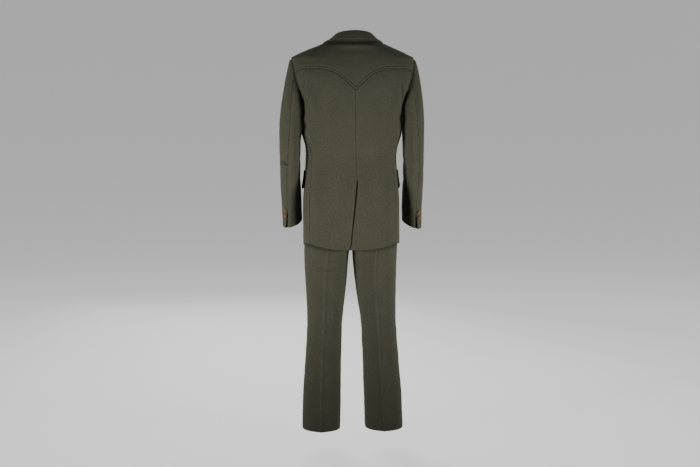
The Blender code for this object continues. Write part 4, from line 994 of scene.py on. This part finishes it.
def makeCollar():
    look = collar
    # rows up the stand, over the roll, down the fall and by its edge, as start, end and count
    parts = ((0, 0.36, 12), (0.37, 0.52, 12), (0.54, 0.72, 8), (0.74, 0.985, 18), (1, 1, 1))
    shares = np.concatenate([np.linspace(*part) for part in parts])
    half = np.concatenate([np.linspace(0, 8.9, 88), [8.95, 9.0]])
    stations = np.concatenate([-half[:0:-1], half])
    points = np.array([collarSection(station, shares) for station in stations])
    normals = -unit(np.cross(np.gradient(points, axis=0), np.gradient(points, axis=1)))
    fromEdge = toEdge(points, points[:, -1])
    onFall = ease(0.40, 0.55, shares)[None, :]
    uneven = look["uneven"] * waver(lengths(points, 0), fromEdge, 41)
    points = points + normals * ((look["swell"] * swelledEdge(fromEdge) + uneven) * onFall)[..., None]
    wall, foot = points, points[:, :1]
    tuck = np.maximum(ease(6.5, 5, np.abs(stations)), 0.06)[:, None, None]
    for deep, inside in look["allowance"]:
        tucked = foot - tuck * (unit(foot * (1, 1, 0)) * inside + np.array((0, 0, deep)))
        wall = np.concatenate([tucked, wall], 1)
    piece = clothWall("collar_cloth", wall, np.concatenate([normals[:, :1], normals[:, :1], normals], 1))
    line, out = traceSide(points, normals, fromEdge)
    stitches = sewStitches("collar_topstitching", [(line[3:-3], out[3:-3])])
    wear(piece, "collar")


makeCollar()
print("collar made")


# The sleeves: where the front seam runs, the vent with its underlap in degrees, the cuffs' heights, the
# hollow behind the arm, and the allowance inside the body, as how much wider and deeper than the armhole
sleeves = dict(
    frontSeam=235, vent=0.068, underlap=(22, 17, 12, 7, 3, 1.2, 0.4), stand=0.0040, turnedOut=0.07, dive=0.0034,
    leftCuff=-0.668, rightCuff=-0.676, crown=0.0018, crevice=0.0105, pull=0.0032, pullWidth=0.0060,
    allowance=((1.09, 0.0062), (1.02, 0.0045)), uneven=0.0005, puckers=0.00022,
    upperGirth=0.205, underGirth=0.165, long=0.376, cell=0.0042,
    upperCut=(0.27, 0.64), upperArea=0.112, underCut=(0.21, 0.55), underArea=0.076,
    folds=[
        (1, 46, -0.434, 0.034, 0.0120, 97, -0.0060, 2.0), (1, 74, -0.418, 0.022, 0.0080, 30, -0.0030, 2.0),
        (1, 300, -0.450, 0.040, 0.0120, 96, -0.0035, 2.0), (1, 270, -0.490, 0.035, 0.0120, 84, -0.0030, 2.0),
        (-1, 120, -0.470, 0.040, 0.0120, 66, -0.0030, 2.0), (-1, 300, -0.455, 0.040, 0.0120, 96, -0.0035, 2.0),
        (-1, 270, -0.495, 0.035, 0.0120, 84, -0.0030, 2.0),
        # the fullness that lies against the side of the body
        (1, 152, -0.310, 0.034, 0.0150, 0, 0.0110, 2.0), (-1, 152, -0.306, 0.032, 0.0150, 0, 0.0090, 2.0),
        (1, 208, -0.304, 0.034, 0.0160, 0, 0.0085, 2.0), (-1, 208, -0.304, 0.034, 0.0160, 0, 0.0070, 2.0),
        # the crisp break at the elbow
        (1, 50, -0.4420, 0.021, 0.0052, 96, -0.0050, 1.9), (1, 48, -0.4515, 0.030, 0.0060, 96, 0.0038, 1.8),
        (1, 58, -0.480, 0.030, 0.0070, 112, 0.0012, 1.8),
        (-1, 52, -0.462, 0.030, 0.0060, 76, -0.0012, 1.8), (-1, 50, -0.446, 0.034, 0.0070, 80, 0.0010, 1.8),
        # long soft drapes
        (1, 52, -0.360, 0.080, 0.0110, 4, -0.0011, 2.0), (1, 98, -0.390, 0.080, 0.0130, -6, 0.0014, 2.0),
        (-1, 50, -0.365, 0.080, 0.0110, -4, -0.0011, 2.0), (-1, 98, -0.400, 0.080, 0.0130, 6, 0.0013, 2.0),
        (1, 24, -0.580, 0.060, 0.0110, 8, -0.0010, 2.0), (-1, 24, -0.590, 0.060, 0.0110, 8, -0.0010, 2.0),
        (1, 100, -0.560, 0.060, 0.0120, 30, -0.0014, 2.0), (-1, 100, -0.565, 0.060, 0.0120, 30, -0.0014, 2.0),
        (1, 104, -0.600, 0.050, 0.0120, 60, 0.0012, 2.0), (-1, 104, -0.610, 0.050, 0.0120, 60, 0.0012, 2.0),
        (1, 200, -0.430, 0.050, 0.0120, 86, -0.0020, 2.0), (-1, 200, -0.435, 0.050, 0.0120, 86, -0.0020, 2.0),
        (1, 205, -0.500, 0.045, 0.0120, 92, -0.0018, 2.0), (-1, 205, -0.505, 0.045, 0.0120, 92, -0.0018, 2.0),
    ],
    # pulls below the crown: side, turn, place, half width in degrees, height
    headPulls=[
        (1, 58, 0.30, 5.0, 0.0010), (1, 46, 0.34, 5.0, -0.0009), (1, 34, 0.30, 5.0, 0.0008),
        (1, 22, 0.36, 6.0, -0.0007), (-1, 56, 0.30, 6.0, 0.0006), (-1, 42, 0.34, 6.0, -0.0006),
        (1, 300, 0.3, 7, 0.0006), (-1, 300, 0.3, 7, 0.0006),
    ],
)
armTable = readTable("z x y halfWidth halfDepth tilt slope", [
    (-0.300, 0.2275, 0.000, 0.0410, 0.0760, 0.00, 0.00), (-0.370, 0.2285, 0.003, 0.0395, 0.0720, 0.00, 0.00),
    (-0.430, 0.2285, 0.005, 0.0386, 0.0680, 0.03, 0.00), (-0.480, 0.2285, 0.001, 0.0380, 0.0645, 0.10, 0.04),
    (-0.550, 0.2268, -0.015, 0.0374, 0.0600, 0.19, 0.14), (-0.620, 0.2245, -0.034, 0.0372, 0.0565, 0.23, 0.27),
    (-0.680, 0.2240, -0.052, 0.0366, 0.0540, 0.24, 0.36),
])
# Where the back seam runs, in degrees round the sleeve: the left one winds outwards on its way down
seamTable = readTable("place left right", [
    (0.00, 72, 76), (0.31, 68, 78), (0.60, 76, 80), (1.00, 84, 79), (1.15, 80, 71), (1.30, 74, 68),
    (1.44, 69.5, 68), (1.62, 65, 70), (1.80, 60, 73), (2.00, 54, 73),
])
# How far from the armhole the sleeve rolls in behind the arm
rimTable = readTable("turn left right", [
    (88, 0, 0), (97, 0.0050, 0.0015), (103, 0.0085, 0.0060), (108, 0.0140, 0.0105), (118, 0.0205, 0.0120),
    (134, 0.0210, 0.0145), (150, 0.0205, 0.0200),
])


def armholePoint(turn, wider=1.0, lift=0.0):  # round the armhole's rim on the left side, from its top
    z = armholeMiddle + armholeHalf * np.cos(turn)
    cut = np.where(np.sin(turn) > 0, armholeTurn(z, "back"), armholeTurn(z, "front")) - math.pi / 2
    return torso(1, math.pi / 2 + cut * wider, mix(armholeMiddle, z, wider), lift)


def sleevePoint(side, turn, place):  # place is 0 at the armhole, 1 at the first level ring, 2 at the cuff
    turn, place = np.broadcast_arrays(np.asarray(turn, float), np.asarray(place, float))
    z = mix(heights["topRing"], sleeves[sideName(side) + "Cuff"], np.clip(place - 1, 0, 1))
    sine, cosine = np.sin(turn), np.cos(turn)
    across, deep = armTable("halfWidth", z) * cosine, armTable("halfDepth", z) * sine
    level = z - armTable("tilt", z) * deep - armTable("slope", z) * across
    ring = np.stack([armTable("x", z) + across, armTable("y", z) + deep, level], -1)
    hole, out = armholePoint(turn)
    hole = hole - out * 0.0006
    reach = np.linalg.norm(ring - hole, axis=-1, keepdims=True)
    tuck = np.clip(-cosine, 0, 1) * np.clip(sine, 0, 1)
    # the cap leaves the armhole outwards and comes to the first level ring going down
    leave = np.stack([0.6 + 0.3 * cosine, 0.22 * sine - 1.6 * tuck, -0.65 + 0.3 * cosine], -1)
    arrive = np.stack([0.05 * cosine, 0 * sine, -1 + 0 * sine], -1)
    t = np.clip(place, 0, 1)[..., None]
    cap = blendCurve(t, hole, reach * leave * 0.26, ring, reach * arrive * 0.85)
    return np.where(place[..., None] < 1, cap, ring) * (side, 1, 1)


ventPlace = 2 - sleeves["vent"] / (heights["topRing"] - sleeves["leftCuff"])


def sleeveHollow(side, turn, fromTop):  # behind the arm the sleeve rolls in to the armhole in a deep fold
    rim = rimTable(sideName(side), np.degrees(turn)) * ease(math.radians(152), math.radians(130), turn)
    rim = np.where(turn > math.radians(84), rim, 0)
    return sleeves["crevice"] * ease(0, 0.0025, fromTop) * ease(rim, rim - 0.006, fromTop)


def makeSleeve(side, part):
    look = sleeves
    end = math.radians(look["frontSeam"] - (360 if part == "upper" else 0))
    elbow = 1 + np.linspace(0.340, 0.430, 18)  # close rows for the crisp break
    head = np.concatenate([[0, 0.006, 0.015, 0.028], np.linspace(0.045, 1, 34)])
    rows = np.concatenate([head, 1 + spaced(look["long"], look["cell"])[5:]])
    rows = np.sort(np.concatenate([rows[(rows < elbow[0]) | (rows > elbow[-1])], elbow]))
    under = np.zeros(0)
    if part == "under":
        under = np.radians(look["underlap"])
        rows = denser(rows, ventPlace, 0.006, [ventPlace - 0.002, ventPlace + 0.001])
    columns = np.concatenate([-np.arange(len(under), 0, -1), spaced(look[part + "Girth"], look["cell"])])
    place, share = rowsAndColumns(rows, columns)
    lap = np.where(share < 0, -share, 0).astype(int)
    share = np.maximum(share, 0)
    start = np.radians(seamTable(sideName(side), place))
    turn = mix(start, end, share)
    if part == "upper":
        inVent = ease(ventPlace, 2, place)
        lift = look["stand"] * inVent * ease(0.16, 0, share)
        turn = turn - look["turnedOut"] * inVent * ease(0.25, 0, share)
    else:
        inVent = place > ventPlace
        reach = np.concatenate([[0], under[::-1]])[lap]
        closed = 0.001 * (8 - lap)  # above the vent the underlap closes up behind the seam
        turn = np.where(lap > 0, start + np.where(inVent, -reach, closed), np.maximum(turn, start + 0.009))
        dive = ease(0, 0.05, place - ventPlace) * ease(0.20, 0.03, turn - start)
        lift = -look["dive"] * np.where(lap > 0, inVent, dive)
    points = sleevePoint(side, turn, place)
    z = points[..., 2]
    radius = 0.5 * (armTable("halfWidth", z) + armTable("halfDepth", z))
    lift = lift + foldLift(look["folds"], side, turn, z, radius) * ease(0.45, 0.75, place)
    for pullSide, pullTurn, pullPlace, width, high in look["headPulls"]:
        if pullSide == side:
            away = (apartDegrees(turn, pullTurn) / width) ** 2 + ((place - pullPlace) / 0.28) ** 2
            lift = lift + high * np.exp(-away) * ease(0, 0.1, place)
    lift = lift + look["uneven"] * waver(turn * 0.055, z, 51 + side) * ease(0.3, 1, place)
    lift = lift + look["crown"] * bump(place, 0.10, 0.10) * np.clip(np.cos(turn), 0, 1)
    fromBack, fromFront = np.abs(turn - start) * radius, np.abs(end - turn) * radius
    puckers = puckering(z, look["puckers"], 53)
    free = 1 - ease(ventPlace - 0.04, ventPlace, place)
    lift = lift + free * pressedSeam(fromBack, 0.0004, puckers) + pressedSeam(fromFront, 0.0003, puckers)
    fromTop = toEdge(points, points[0])
    lift = lift - look["pull"] * bump(fromTop, 0, look["pullWidth"]) * ease(0, 0.003, fromTop)
    rise = np.where(place < 1, ease(1, 0, place) * np.maximum(np.cos(turn), 0) * 0.1, 0)
    axis = np.stack(np.broadcast_arrays(side * armTable("x", z), armTable("y", z), z - rise), -1)
    normals = normalsOf(lambda t, p: sleevePoint(side, t, p), turn, place, points - axis)
    inwards = unit(np.array((side * 0.35, 1, 0)))
    points = points + normals * lift[..., None] - sleeveHollow(side, turn, fromTop)[..., None] * inwards
    tucked = [armholePoint(turn[:1], wider, -deep)[0] * (side, 1, 1) for wider, deep in look["allowance"]]
    points, normals = np.concatenate([*tucked, points]), np.concatenate([normals[:1], normals[:1], normals])
    node = sideName(side) + "_sleeve_" + part
    piece = clothWall(node + "_cloth", points, normals, "sleeves", column=points.shape[1] // 2)
    wear(piece, node)


for side in (1, -1):
    for part in ("upper", "under"):
        makeSleeve(side, part)
print("sleeves made")


# The trousers: how far the pressed crease stands out, as a soft ridge and its crisp edge, the shadow
# under the jacket's hem, the share of a fold's height that the fronts take, and the columns by the crease
trousers = dict(
    crease=0.0040, press=0.0040, pressWidth=0.025, creaseWidth=0.12, wide=0.24, shadow=0.55, frontShare=0.6,
    byCrease=(0.003, 0.008, 0.016, 0.028, 0.042), cell=0.0055, long=0.716, cellDown=0.0062,
    uneven=0.0006, puckers=0.00025, hemLine=0.00035, hemDeep=0.040, cut=(0.30, 1.02), area=0.245,
    folds=[
        (1, 95, -0.830, 0.060, 0.0075, 90, -0.0052, 2.0), (1, 95, -0.845, 0.060, 0.0075, 90, 0.0026, 2.0),
        (-1, 60, -0.850, 0.050, 0.0140, 78, -0.0020, 2.0),
        (1, 60, -0.842, 0.050, 0.0060, 84, -0.0010, 1.6), (1, 120, -0.800, 0.045, 0.0100, 70, -0.0014, 1.8),
        (-1, 110, -0.810, 0.050, 0.0110, 112, -0.0014, 1.8), (1, 130, -1.060, 0.050, 0.0140, 76, -0.0014, 2.0),
        (-1, 125, -1.050, 0.050, 0.0140, 100, -0.0014, 2.0), (1, 50, -1.085, 0.050, 0.0130, 100, -0.0012, 2.0),
        (-1, 52, -1.075, 0.050, 0.0130, 80, -0.0012, 2.0), (1, 60, -1.370, 0.045, 0.0130, 78, -0.0016, 2.0),
        (-1, 60, -1.375, 0.045, 0.0130, 100, -0.0018, 2.0), (1, 125, -1.340, 0.040, 0.0120, 76, 0.0012, 2.0),
        (-1, 120, -1.345, 0.040, 0.0120, 100, 0.0014, 2.0),
        (1, 35, -0.95, 0.12, 0.020, 4, 0.0015, 2.0), (-1, 35, -0.98, 0.12, 0.020, -4, 0.0015, 2.0),
    ],
)
hipTable = readTable("z halfWidth back front square", [
    (-0.400, 0.1490, 0.089, 0.103, 2.2), (-0.440, 0.1500, 0.090, 0.104, 2.2),
    (-0.500, 0.1570, 0.098, 0.106, 2.2), (-0.560, 0.1680, 0.110, 0.108, 2.2),
    (-0.620, 0.1762, 0.117, 0.109, 2.2), (-0.680, 0.1736, 0.114, 0.106, 2.2),
    (-0.740, 0.1715, 0.108, 0.102, 2.2),
])
legTable = readTable("z x y halfWidth halfDepth turn", [
    (-0.600, 0.0866, 0.002, 0.0862, 0.106, 0), (-0.722, 0.0868, 0.002, 0.0862, 0.101, 0),
    (-0.780, 0.0895, 0.003, 0.0830, 0.095, 4), (-0.900, 0.0930, 0.007, 0.0752, 0.086, 7),
    (-1.050, 0.1010, 0.012, 0.0650, 0.078, 7), (-1.190, 0.1082, 0.012, 0.0673, 0.079, 7),
    (-1.320, 0.1145, 0.010, 0.0708, 0.083, 6), (-1.470, 0.1185, 0.008, 0.0712, 0.087, 4),
])


def hipPoint(turn, z):
    sine, cosine = oval(turn, hipTable("square", z))
    depth = np.where(cosine > 0, hipTable("back", z), hipTable("front", z))
    return np.stack(np.broadcast_arrays(hipTable("halfWidth", z) * sine, depth * cosine, z), -1)


def legPoint(side, face, share, z):  # share runs from the outside seam to the inside one
    share, z = np.broadcast_arrays(np.asarray(share, float), np.asarray(z, float))
    rise = np.clip((z - heights["crotch"]) / heights["crotchRise"], 0, 1)
    seat = np.sqrt(1 - (1 - rise) ** 2)
    swing = np.radians(legTable("turn", z)) * side * ease(heights["crotch"], heights["crotch"] - 0.1, z)
    turn = math.pi * share * face - swing
    hips = hipTable("halfWidth", z)
    x = mix(legTable("x", z), hips / 2, seat) + mix(legTable("halfWidth", z), hips / 2, seat) * np.cos(turn)
    square = hipTable("square", z)
    deep = hipTable("back" if face > 0 else "front", z)
    hipY = face * deep * (1 - np.clip(x / hips, 0, 1) ** square) ** (1 / square)
    y = mix(legTable("y", z) + legTable("halfDepth", z) * np.sin(turn), hipY, seat)
    return np.stack([x, y, z], -1) * (side, 1, 1)


def makeTrouserPanel(side, face):  # face is 1 for the back panel, -1 for the front one
    look = trousers
    crotch, waist = heights["crotch"], heights["waist"]
    seat = crotch + heights["crotchRise"] * (1 - np.cos(np.radians(np.linspace(90, 0, 26))))
    rows = np.concatenate([
        waist - np.array([0, 0.0007, 0.0016]), np.linspace(waist - 0.004, seat[0], 28)[:-1], seat,
        crotch + (heights["trouserHem"] - crotch) * spaced(look["long"], look["cellDown"])[6:],
    ])
    near = np.array(look["byCrease"])
    columns = denser(spaced(0.25, look["cell"]), 0.5, 0.052, [*(0.5 - near), 0.5, *(0.5 + near)])
    z, share = rowsAndColumns(rows, columns)
    points = legPoint(side, face, share, z)
    centre = np.stack([side * legTable("x", z), legTable("y", z), z], -1)
    above = z >= seat[0] - 1e-9
    inwards = np.where(share > 0.5, -0.01, 0.01) * above * ((share < 0.012) | (share > 0.988))
    normals = normalsOf(lambda s, h: legPoint(side, face, s, h), share + inwards, z, points - centre)
    normals[above[:, 0], 0, 1] = 0  # above the crotch both seams lie in the panels' common plane
    normals[above[:, 0], -1, 0] = 0
    normals = unit(normals)
    fromCrease = np.abs(share - 0.5)
    ridge = look["crease"] * np.clip(1 - fromCrease / look["creaseWidth"], 0, 1) ** 1.25
    lift = (ridge + look["press"] * bump(fromCrease, 0, look["pressWidth"])) * ease(-0.50, -0.62, z)
    folds = foldLift(look["folds"], side, math.pi * share, z, legTable("halfDepth", z))
    lift = lift + folds * (1 if face > 0 else look["frontShare"])
    lift = lift + look["uneven"] * waver(share * 0.25, z, 61 + side + 3 * face)
    fromSeam = np.minimum(share, 1 - share) * look["wide"]
    lift = lift + pressedSeam(fromSeam, 0.0004, puckering(z, look["puckers"], 63))
    lift = lift - look["hemLine"] * bump(z - heights["trouserHem"], look["hemDeep"], 0.004)
    points = points + normals * lift[..., None]
    node = sideName(side) + "_leg_" + ("back" if face > 0 else "front")
    shade = 1.0
    if face > 0:  # under the jacket's hem little light reaches the trousers
        hem = mix(heights["hemBack"], heights["hemSide"], np.clip(np.abs(points[..., 0]) / 0.19, 0, 1) ** 2)
        shade = 1 - look["shadow"] * ease(-0.020, 0.002, z - hem)
    piece = clothWall(node + "_cloth", points, normals, "trousers", column=points.shape[1] // 2, shade=shade)
    wear(piece, node)


for side in (1, -1):
    for face in (1, -1):
        makeTrouserPanel(side, face)

# The waistband and the fly: their height, lap and reach, and the cut of what shows
band = dict(high=0.038, lap=0.040, cut=(0.85, 0.038))
fly = dict(reach=0.036, cut=(0.042, 0.160))


def hipWall(node, turns, rows, lift):
    z, turn = rowsAndColumns(rows, turns)
    points = hipPoint(turn, z)
    normals = normalsOf(hipPoint, turn, z, points * (1, 1, 0))
    points = points + normals * np.broadcast_to(lift, turn.shape)[..., None]
    wear(clothWall(node + "_cloth", points, normals, "trousers"), node)


def makeWaistband():  # its end laps over its start in front
    lap = band["lap"] / float(hipTable("front", heights["waist"])) / 1.35
    turns = np.linspace(-math.pi, math.pi + lap, 200)
    over = (cloth["thick"] + cloth["layer"]) * ease(math.pi - 0.24, math.pi - 0.10, turns)
    rows = heights["waist"] + cloth["seam"] / 2 + band["high"] * spaced(band["high"], 0.005)
    over = over + 0.0004 * bump(rows[:, None] - heights["waist"], band["high"] / 2, 0.012)
    hipWall("waistband", turns, rows, over)


def makeFly():
    reach = fly["reach"] / float(hipTable("halfWidth", heights["waist"]))
    turns = math.pi - np.linspace(-0.02, reach, 14)
    rows = np.linspace(heights["waist"] - 0.001, heights["flyBottom"], 40)
    hipWall("fly", turns, rows, cloth["thick"] + cloth["layer"])


makeWaistband()
makeFly()
print("trousers made")


# The pocket flaps: their height on the front, where they start and end round the body in degrees, how
# much of them the pointed corners take, and how far they stand off at the foot
flaps = dict(
    top=-0.474, slope=0.006, deep=0.070, wide=0.15, turns=(92, 142), corner=0.2, cornerDepth=0.28, stand=0.005,
    puff=0.0006, cellDown=0.0028, cell=0.0032, cut=(0.165, 0.070), area=0.0097,
)


def makeFlap(side):
    look = flaps
    rows = spaced(look["deep"], look["cellDown"], fineEnds)
    down, share = rowsAndColumns(rows, spaced(look["wide"], look["cell"], fineEnds))
    corner = np.clip(1 - np.minimum(share, 1 - share) / look["corner"], 0, 1)
    depth = look["deep"] * (1 - look["cornerDepth"] * (1 - np.sqrt(1 - corner**2)))
    z = look["top"] - down * depth + look["slope"] * share
    turn = np.radians(mix(*look["turns"], share))
    # it follows the folds of the front beneath it
    lift = foldLift(fronts["folds"][:4], side, turn, z, torsoTable("halfWidth", z))
    lift = lift + cloth["thick"] + cloth["layer"] * 1.6 + look["stand"] * down**1.5 * mix(1.0, 0.35, share)
    base, _ = torso(side, turn, z, lift)
    fromEdge = toEdge(base, np.concatenate([base[:, 0], base[-1], base[::-1, -1]]))
    puff = look["puff"] * np.sin(math.pi * share) * np.sin(math.pi * down)
    points, normals = torso(side, turn, z, lift + swelledEdge(fromEdge) + puff)
    node = "pocket_flap_" + sideName(side)
    piece = clothWall(node + "_cloth", points, normals)
    line = traceLine(points[::-1], normals[::-1], fromEdge[::-1])
    stitches = sewStitches(node + "_topstitching", [line])
    wear(piece, node)


for side in (1, -1):
    makeFlap(side)
print("flaps made")


# The buttons: their diameters, thickness, the four holes and how far apart they lie, and the thread
buttons = dict(
    jacket=0.020, small=0.015, thick=0.0034, holes=0.0022, spread=0.001495, sides=48, sharp=35,
    thread=0.00026, threadStep=0.00042, threadSides=6, threadRings=9,
    # how high the thread lies in the dish, how it arches, lies over the other bar and goes down the holes
    seat=0.66, arch=0.00045, over=0.0003, down=0.0012,
    # a button this far out is a cuff's, and faces away from the middle of its sleeve
    cuffFrom=0.19, sleeveMiddle=0.2265,
    # shares of the radius and of the thickness: a rounded edge, a raised rim and a dished middle
    profile=[
        (0, 0), (0.30, 0.0), (0.78, 0.0), (0.93, 0.14), (1.0, 0.36), (1.0, 0.62), (0.965, 0.84), (0.90, 0.97),
        (0.83, 1.0), (0.765, 0.95), (0.72, 0.80), (0.67, 0.70), (0.40, 0.66), (0.0, 0.65),
    ],
)


def buttonShape(name, diameter):  # turned, then drilled four times
    look = buttons
    profile = [(diameter / 2 * r, look["thick"] * high) for r, high in look["profile"]]
    points, faces = lathe(profile, look["sides"], capped=True)
    shape = addMesh(name, points, faces, horn)
    drills = []
    for x in (-1, 1):
        for y in (-1, 1):
            bpy.ops.mesh.primitive_cylinder_add(
                vertices=20, radius=look["holes"] / 2 * (diameter / look["jacket"]) ** 0.5, depth=0.02,
                location=(x * look["spread"], y * look["spread"], 0))
            drills.append(bpy.context.object)
            cut = shape.modifiers.new("hole", "BOOLEAN")
            cut.operation, cut.object, cut.solver = "DIFFERENCE", drills[-1], "EXACT"
    shape = bakeTree(shape, name)
    for drill in drills:
        bpy.data.objects.remove(drill)
    return shape


templates = {buttons[size]: buttonShape(size + " button", buttons[size]) for size in ("jacket", "small")}


def threadBars():  # two crossed bars of thread over the four holes, three strands each
    look = buttons
    radius, sides, rings = look["thread"], look["threadSides"], look["threadRings"]
    verts, faces = [], []
    for sign in (1, -1):
        beside = np.array([-sign, 1, 0]) / math.sqrt(2)
        for strand in (-1, 0, 1):
            base = len(verts)
            for t in np.linspace(-1, 1, rings):
                place = np.array([t, t * sign, 0]) * look["spread"] + beside * strand * look["threadStep"]
                place[2] = look["thick"] * look["seat"] + look["arch"] * (1 - t**4)
                if sign < 0:
                    place[2] += look["over"] * (1 - t * t)
                if abs(t) > 0.99:
                    place[2] -= look["down"]
                for a in np.arange(sides) * 2 * math.pi / sides:
                    verts.append(place + radius * (beside * math.cos(a) + np.array([0, 0, math.sin(a)])))
            quads = []
            for low in range(base, base + (rings - 1) * sides, sides):
                for k in range(sides):
                    after = (k + 1) % sides
                    quads.append((low + k, low + after, low + sides + after, low + sides + k))
            quads.append(tuple(range(base + sides - 1, base - 1, -1)))
            quads.append(tuple(range(len(verts) - sides, len(verts))))
            faces += quads if sign > 0 else [quad[::-1] for quad in quads]
    return np.array(verts), faces


def placeButton(node, diameter, spin):
    low, high = (np.array(corner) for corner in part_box(node))
    spots = np.array([v.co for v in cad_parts[node].data.vertices])
    centred = spots - spots.mean(0)
    out = np.linalg.svd(centred[:: max(1, len(centred) // 400)])[2][2]  # the way the disc is thinnest
    middle = (low + high) / 2
    onSleeve = abs(middle[0]) >= buttons["cuffFrom"]
    inside = math.copysign(buttons["sleeveMiddle"], middle[0]) if onSleeve else leanTable("jacket", middle[2])
    if out @ (middle - (inside, 0, middle[2])) < 0:
        out = -out
    centre = spots.mean(0)
    centre = centre + out * ((spots @ out).min() - centre @ out)
    first = unit(np.cross(out, (0, 0, 1.0)))
    second = np.cross(out, first)
    turned = np.stack([
        first * math.cos(spin) + second * math.sin(spin), second * math.cos(spin) - first * math.sin(spin), out,
    ])
    shape = templates[diameter].data.copy()
    flat = np.empty(len(shape.vertices) * 3)
    shape.vertices.foreach_get("co", flat)
    shape.vertices.foreach_set("co", (flat.reshape(-1, 3) @ turned + centre).ravel())
    verts, faces = threadBars()
    if np.linalg.det(turned) < 0:
        shape.flip_normals()
        faces = [face[::-1] for face in faces]
    shape.shade_smooth()
    shape.set_sharp_from_angle(angle=math.radians(buttons["sharp"]))
    piece = addObject(node + "_turned", shape)
    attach(piece, "root")
    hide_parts(node)
    bars = addMesh(node + "_thread", verts @ turned + centre, faces, thread)
    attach(bars, "root")


for node, size, spin in (
        ("jacket_button_1", "jacket", 0.1), ("jacket_button_2", "jacket", -0.2),
        ("left_cuff_button_1", "small", 0.3), ("left_cuff_button_2", "small", 0.13),
        ("right_cuff_button_1", "small", -0.04), ("right_cuff_button_2", "small", -0.21),
        ("waistband_button", "small", -0.38)):
    placeButton(node, buttons[size], spin)
for shape in templates.values():
    bpy.data.objects.remove(shape)
print("buttons made")


# The studio: a round floor that bends up into a wall, its faint glow, the air's light, and the lamps
studio = dict(
    floor=-1.50, radius=7.6, wall=5.5, bend=2.2, sides=96, dark="#c4c4c4", light="#c9c9c9", marks=1.3,
    roughness=0.8, glow=0.84, glowFrom=1.5, glowTo=8.5, glowFar=0.52, air=0.025,
    # name, place, aim, size, power, spread in degrees, which grids narrow
    lamps=[
        ("softbox left", (3.0, 2.1, -0.86), (0, 0, -0.56), (0.9, 0.9), 10.8, 38),
        ("softbox right", (-3.05, 1.95, -0.86), (0, 0, -0.56), (0.9, 0.9), 9.8, 38),
        ("front fill", (0.6, -4.6, -0.3), (0, 0, -0.7), (2.0, 1.6), 75, 60),
    ],
)


# Matt painted studio floor and sweep: even and pale, with faint roller marks
def makePaint():
    look = studio
    material, tree = newMaterial("matt studio paint")
    place = addNode(tree, "ShaderNodeTexCoord")
    marks = addNode(
        tree, "ShaderNodeTexNoise", {"Scale": look["marks"], "Detail": 3.0}, [("Vector", place, "Object")])
    shade = addNode(
        tree, "ShaderNodeMix", {"data_type": "RGBA", 6: toLinear(look["dark"]), 7: toLinear(look["light"])},
        [(0, marks, "Fac")])
    # a faint glow, stronger on the floor than up the sweep, stands in for the lamps behind the set
    away = addNode(tree, "ShaderNodeVectorMath", {"operation": "LENGTH"}, [("Vector", place, "Object")])
    fade = addNode(
        tree, "ShaderNodeMapRange",
        {"interpolation_type": "SMOOTHSTEP", "From Min": look["glowFrom"], "From Max": look["glowTo"],
         "To Min": 1.0, "To Max": look["glowFar"]},
        [("Value", away, "Value")])
    tint = addNode(tree, "ShaderNodeCombineXYZ", {}, [(axis, fade, "Result") for axis in "XYZ"])
    shader = addNode(
        tree, "ShaderNodeBsdfPrincipled", {"Roughness": look["roughness"], "Emission Strength": look["glow"]},
        [("Base Color", shade, 2), ("Emission Color", tint, "Vector")])
    addNode(tree, "ShaderNodeOutputMaterial", {}, [("Surface", shader, "BSDF")])
    return material


def makeStudio():
    look = studio
    inside, bend, ground = look["radius"] - look["bend"], look["bend"], look["floor"]
    profile = [(r, ground) for r in np.linspace(0.0, inside, 10)]
    for a in np.radians(np.linspace(8, 90, 12)):
        profile.append((inside + bend * math.sin(a), ground + bend * (1 - math.cos(a))))
    profile.append((look["radius"], ground + bend + look["wall"]))
    points, faces = lathe(profile, look["sides"])
    floor = addMesh("studio_floor", points, [face[::-1] for face in faces], makePaint())
    floor.visible_diffuse = False  # its light doesn't soften the shadows on the cloth


def addLamp(name, place, aim, size, power, spread):
    light = bpy.data.lights.new(name, "AREA")
    light.shape, light.energy, light.spread = "RECTANGLE", power, math.radians(spread)
    light.size, light.size_y = size
    lamp = addObject(name, light)
    lamp.location = place
    lamp.rotation_euler = (Vector(aim) - Vector(place)).to_track_quat("-Z", "Y").to_euler()
    lamp.visible_camera = False
    lamp.visible_glossy = False


makeStudio()
for row in studio["lamps"]:
    addLamp(*row)
world = bpy.data.worlds.new("studio air")
bpy.context.scene.world = world
world.use_nodes = True
air = world.node_tree.nodes["Background"].inputs
air["Color"].default_value = (1, 1, 1, 1)
air["Strength"].default_value = studio["air"]

# The camera: its distance, its turn and tilt in degrees, and a lens worked out on a 700 pixel frame
view = dict(away=5.5, turn=4.5, high=-0.157, down=5.73, beside=0.0093, film=36, focal=1485, frame=700)
lens = bpy.data.cameras.new("studio camera")
lens.sensor_width, lens.lens = view["film"], view["focal"] * view["film"] / view["frame"]
camera = addObject("studio camera", lens)
turn, down = math.radians(view["turn"]), math.radians(view["down"])
sine, cosine = math.sin(turn), math.cos(turn)
camera.location = (
    view["away"] * sine + view["beside"] * cosine, view["away"] * cosine - view["beside"] * sine, view["high"])
camera.rotation_euler = (math.pi / 2 - down, 0, math.pi - turn)
bpy.context.scene.camera = camera
print("studio made")
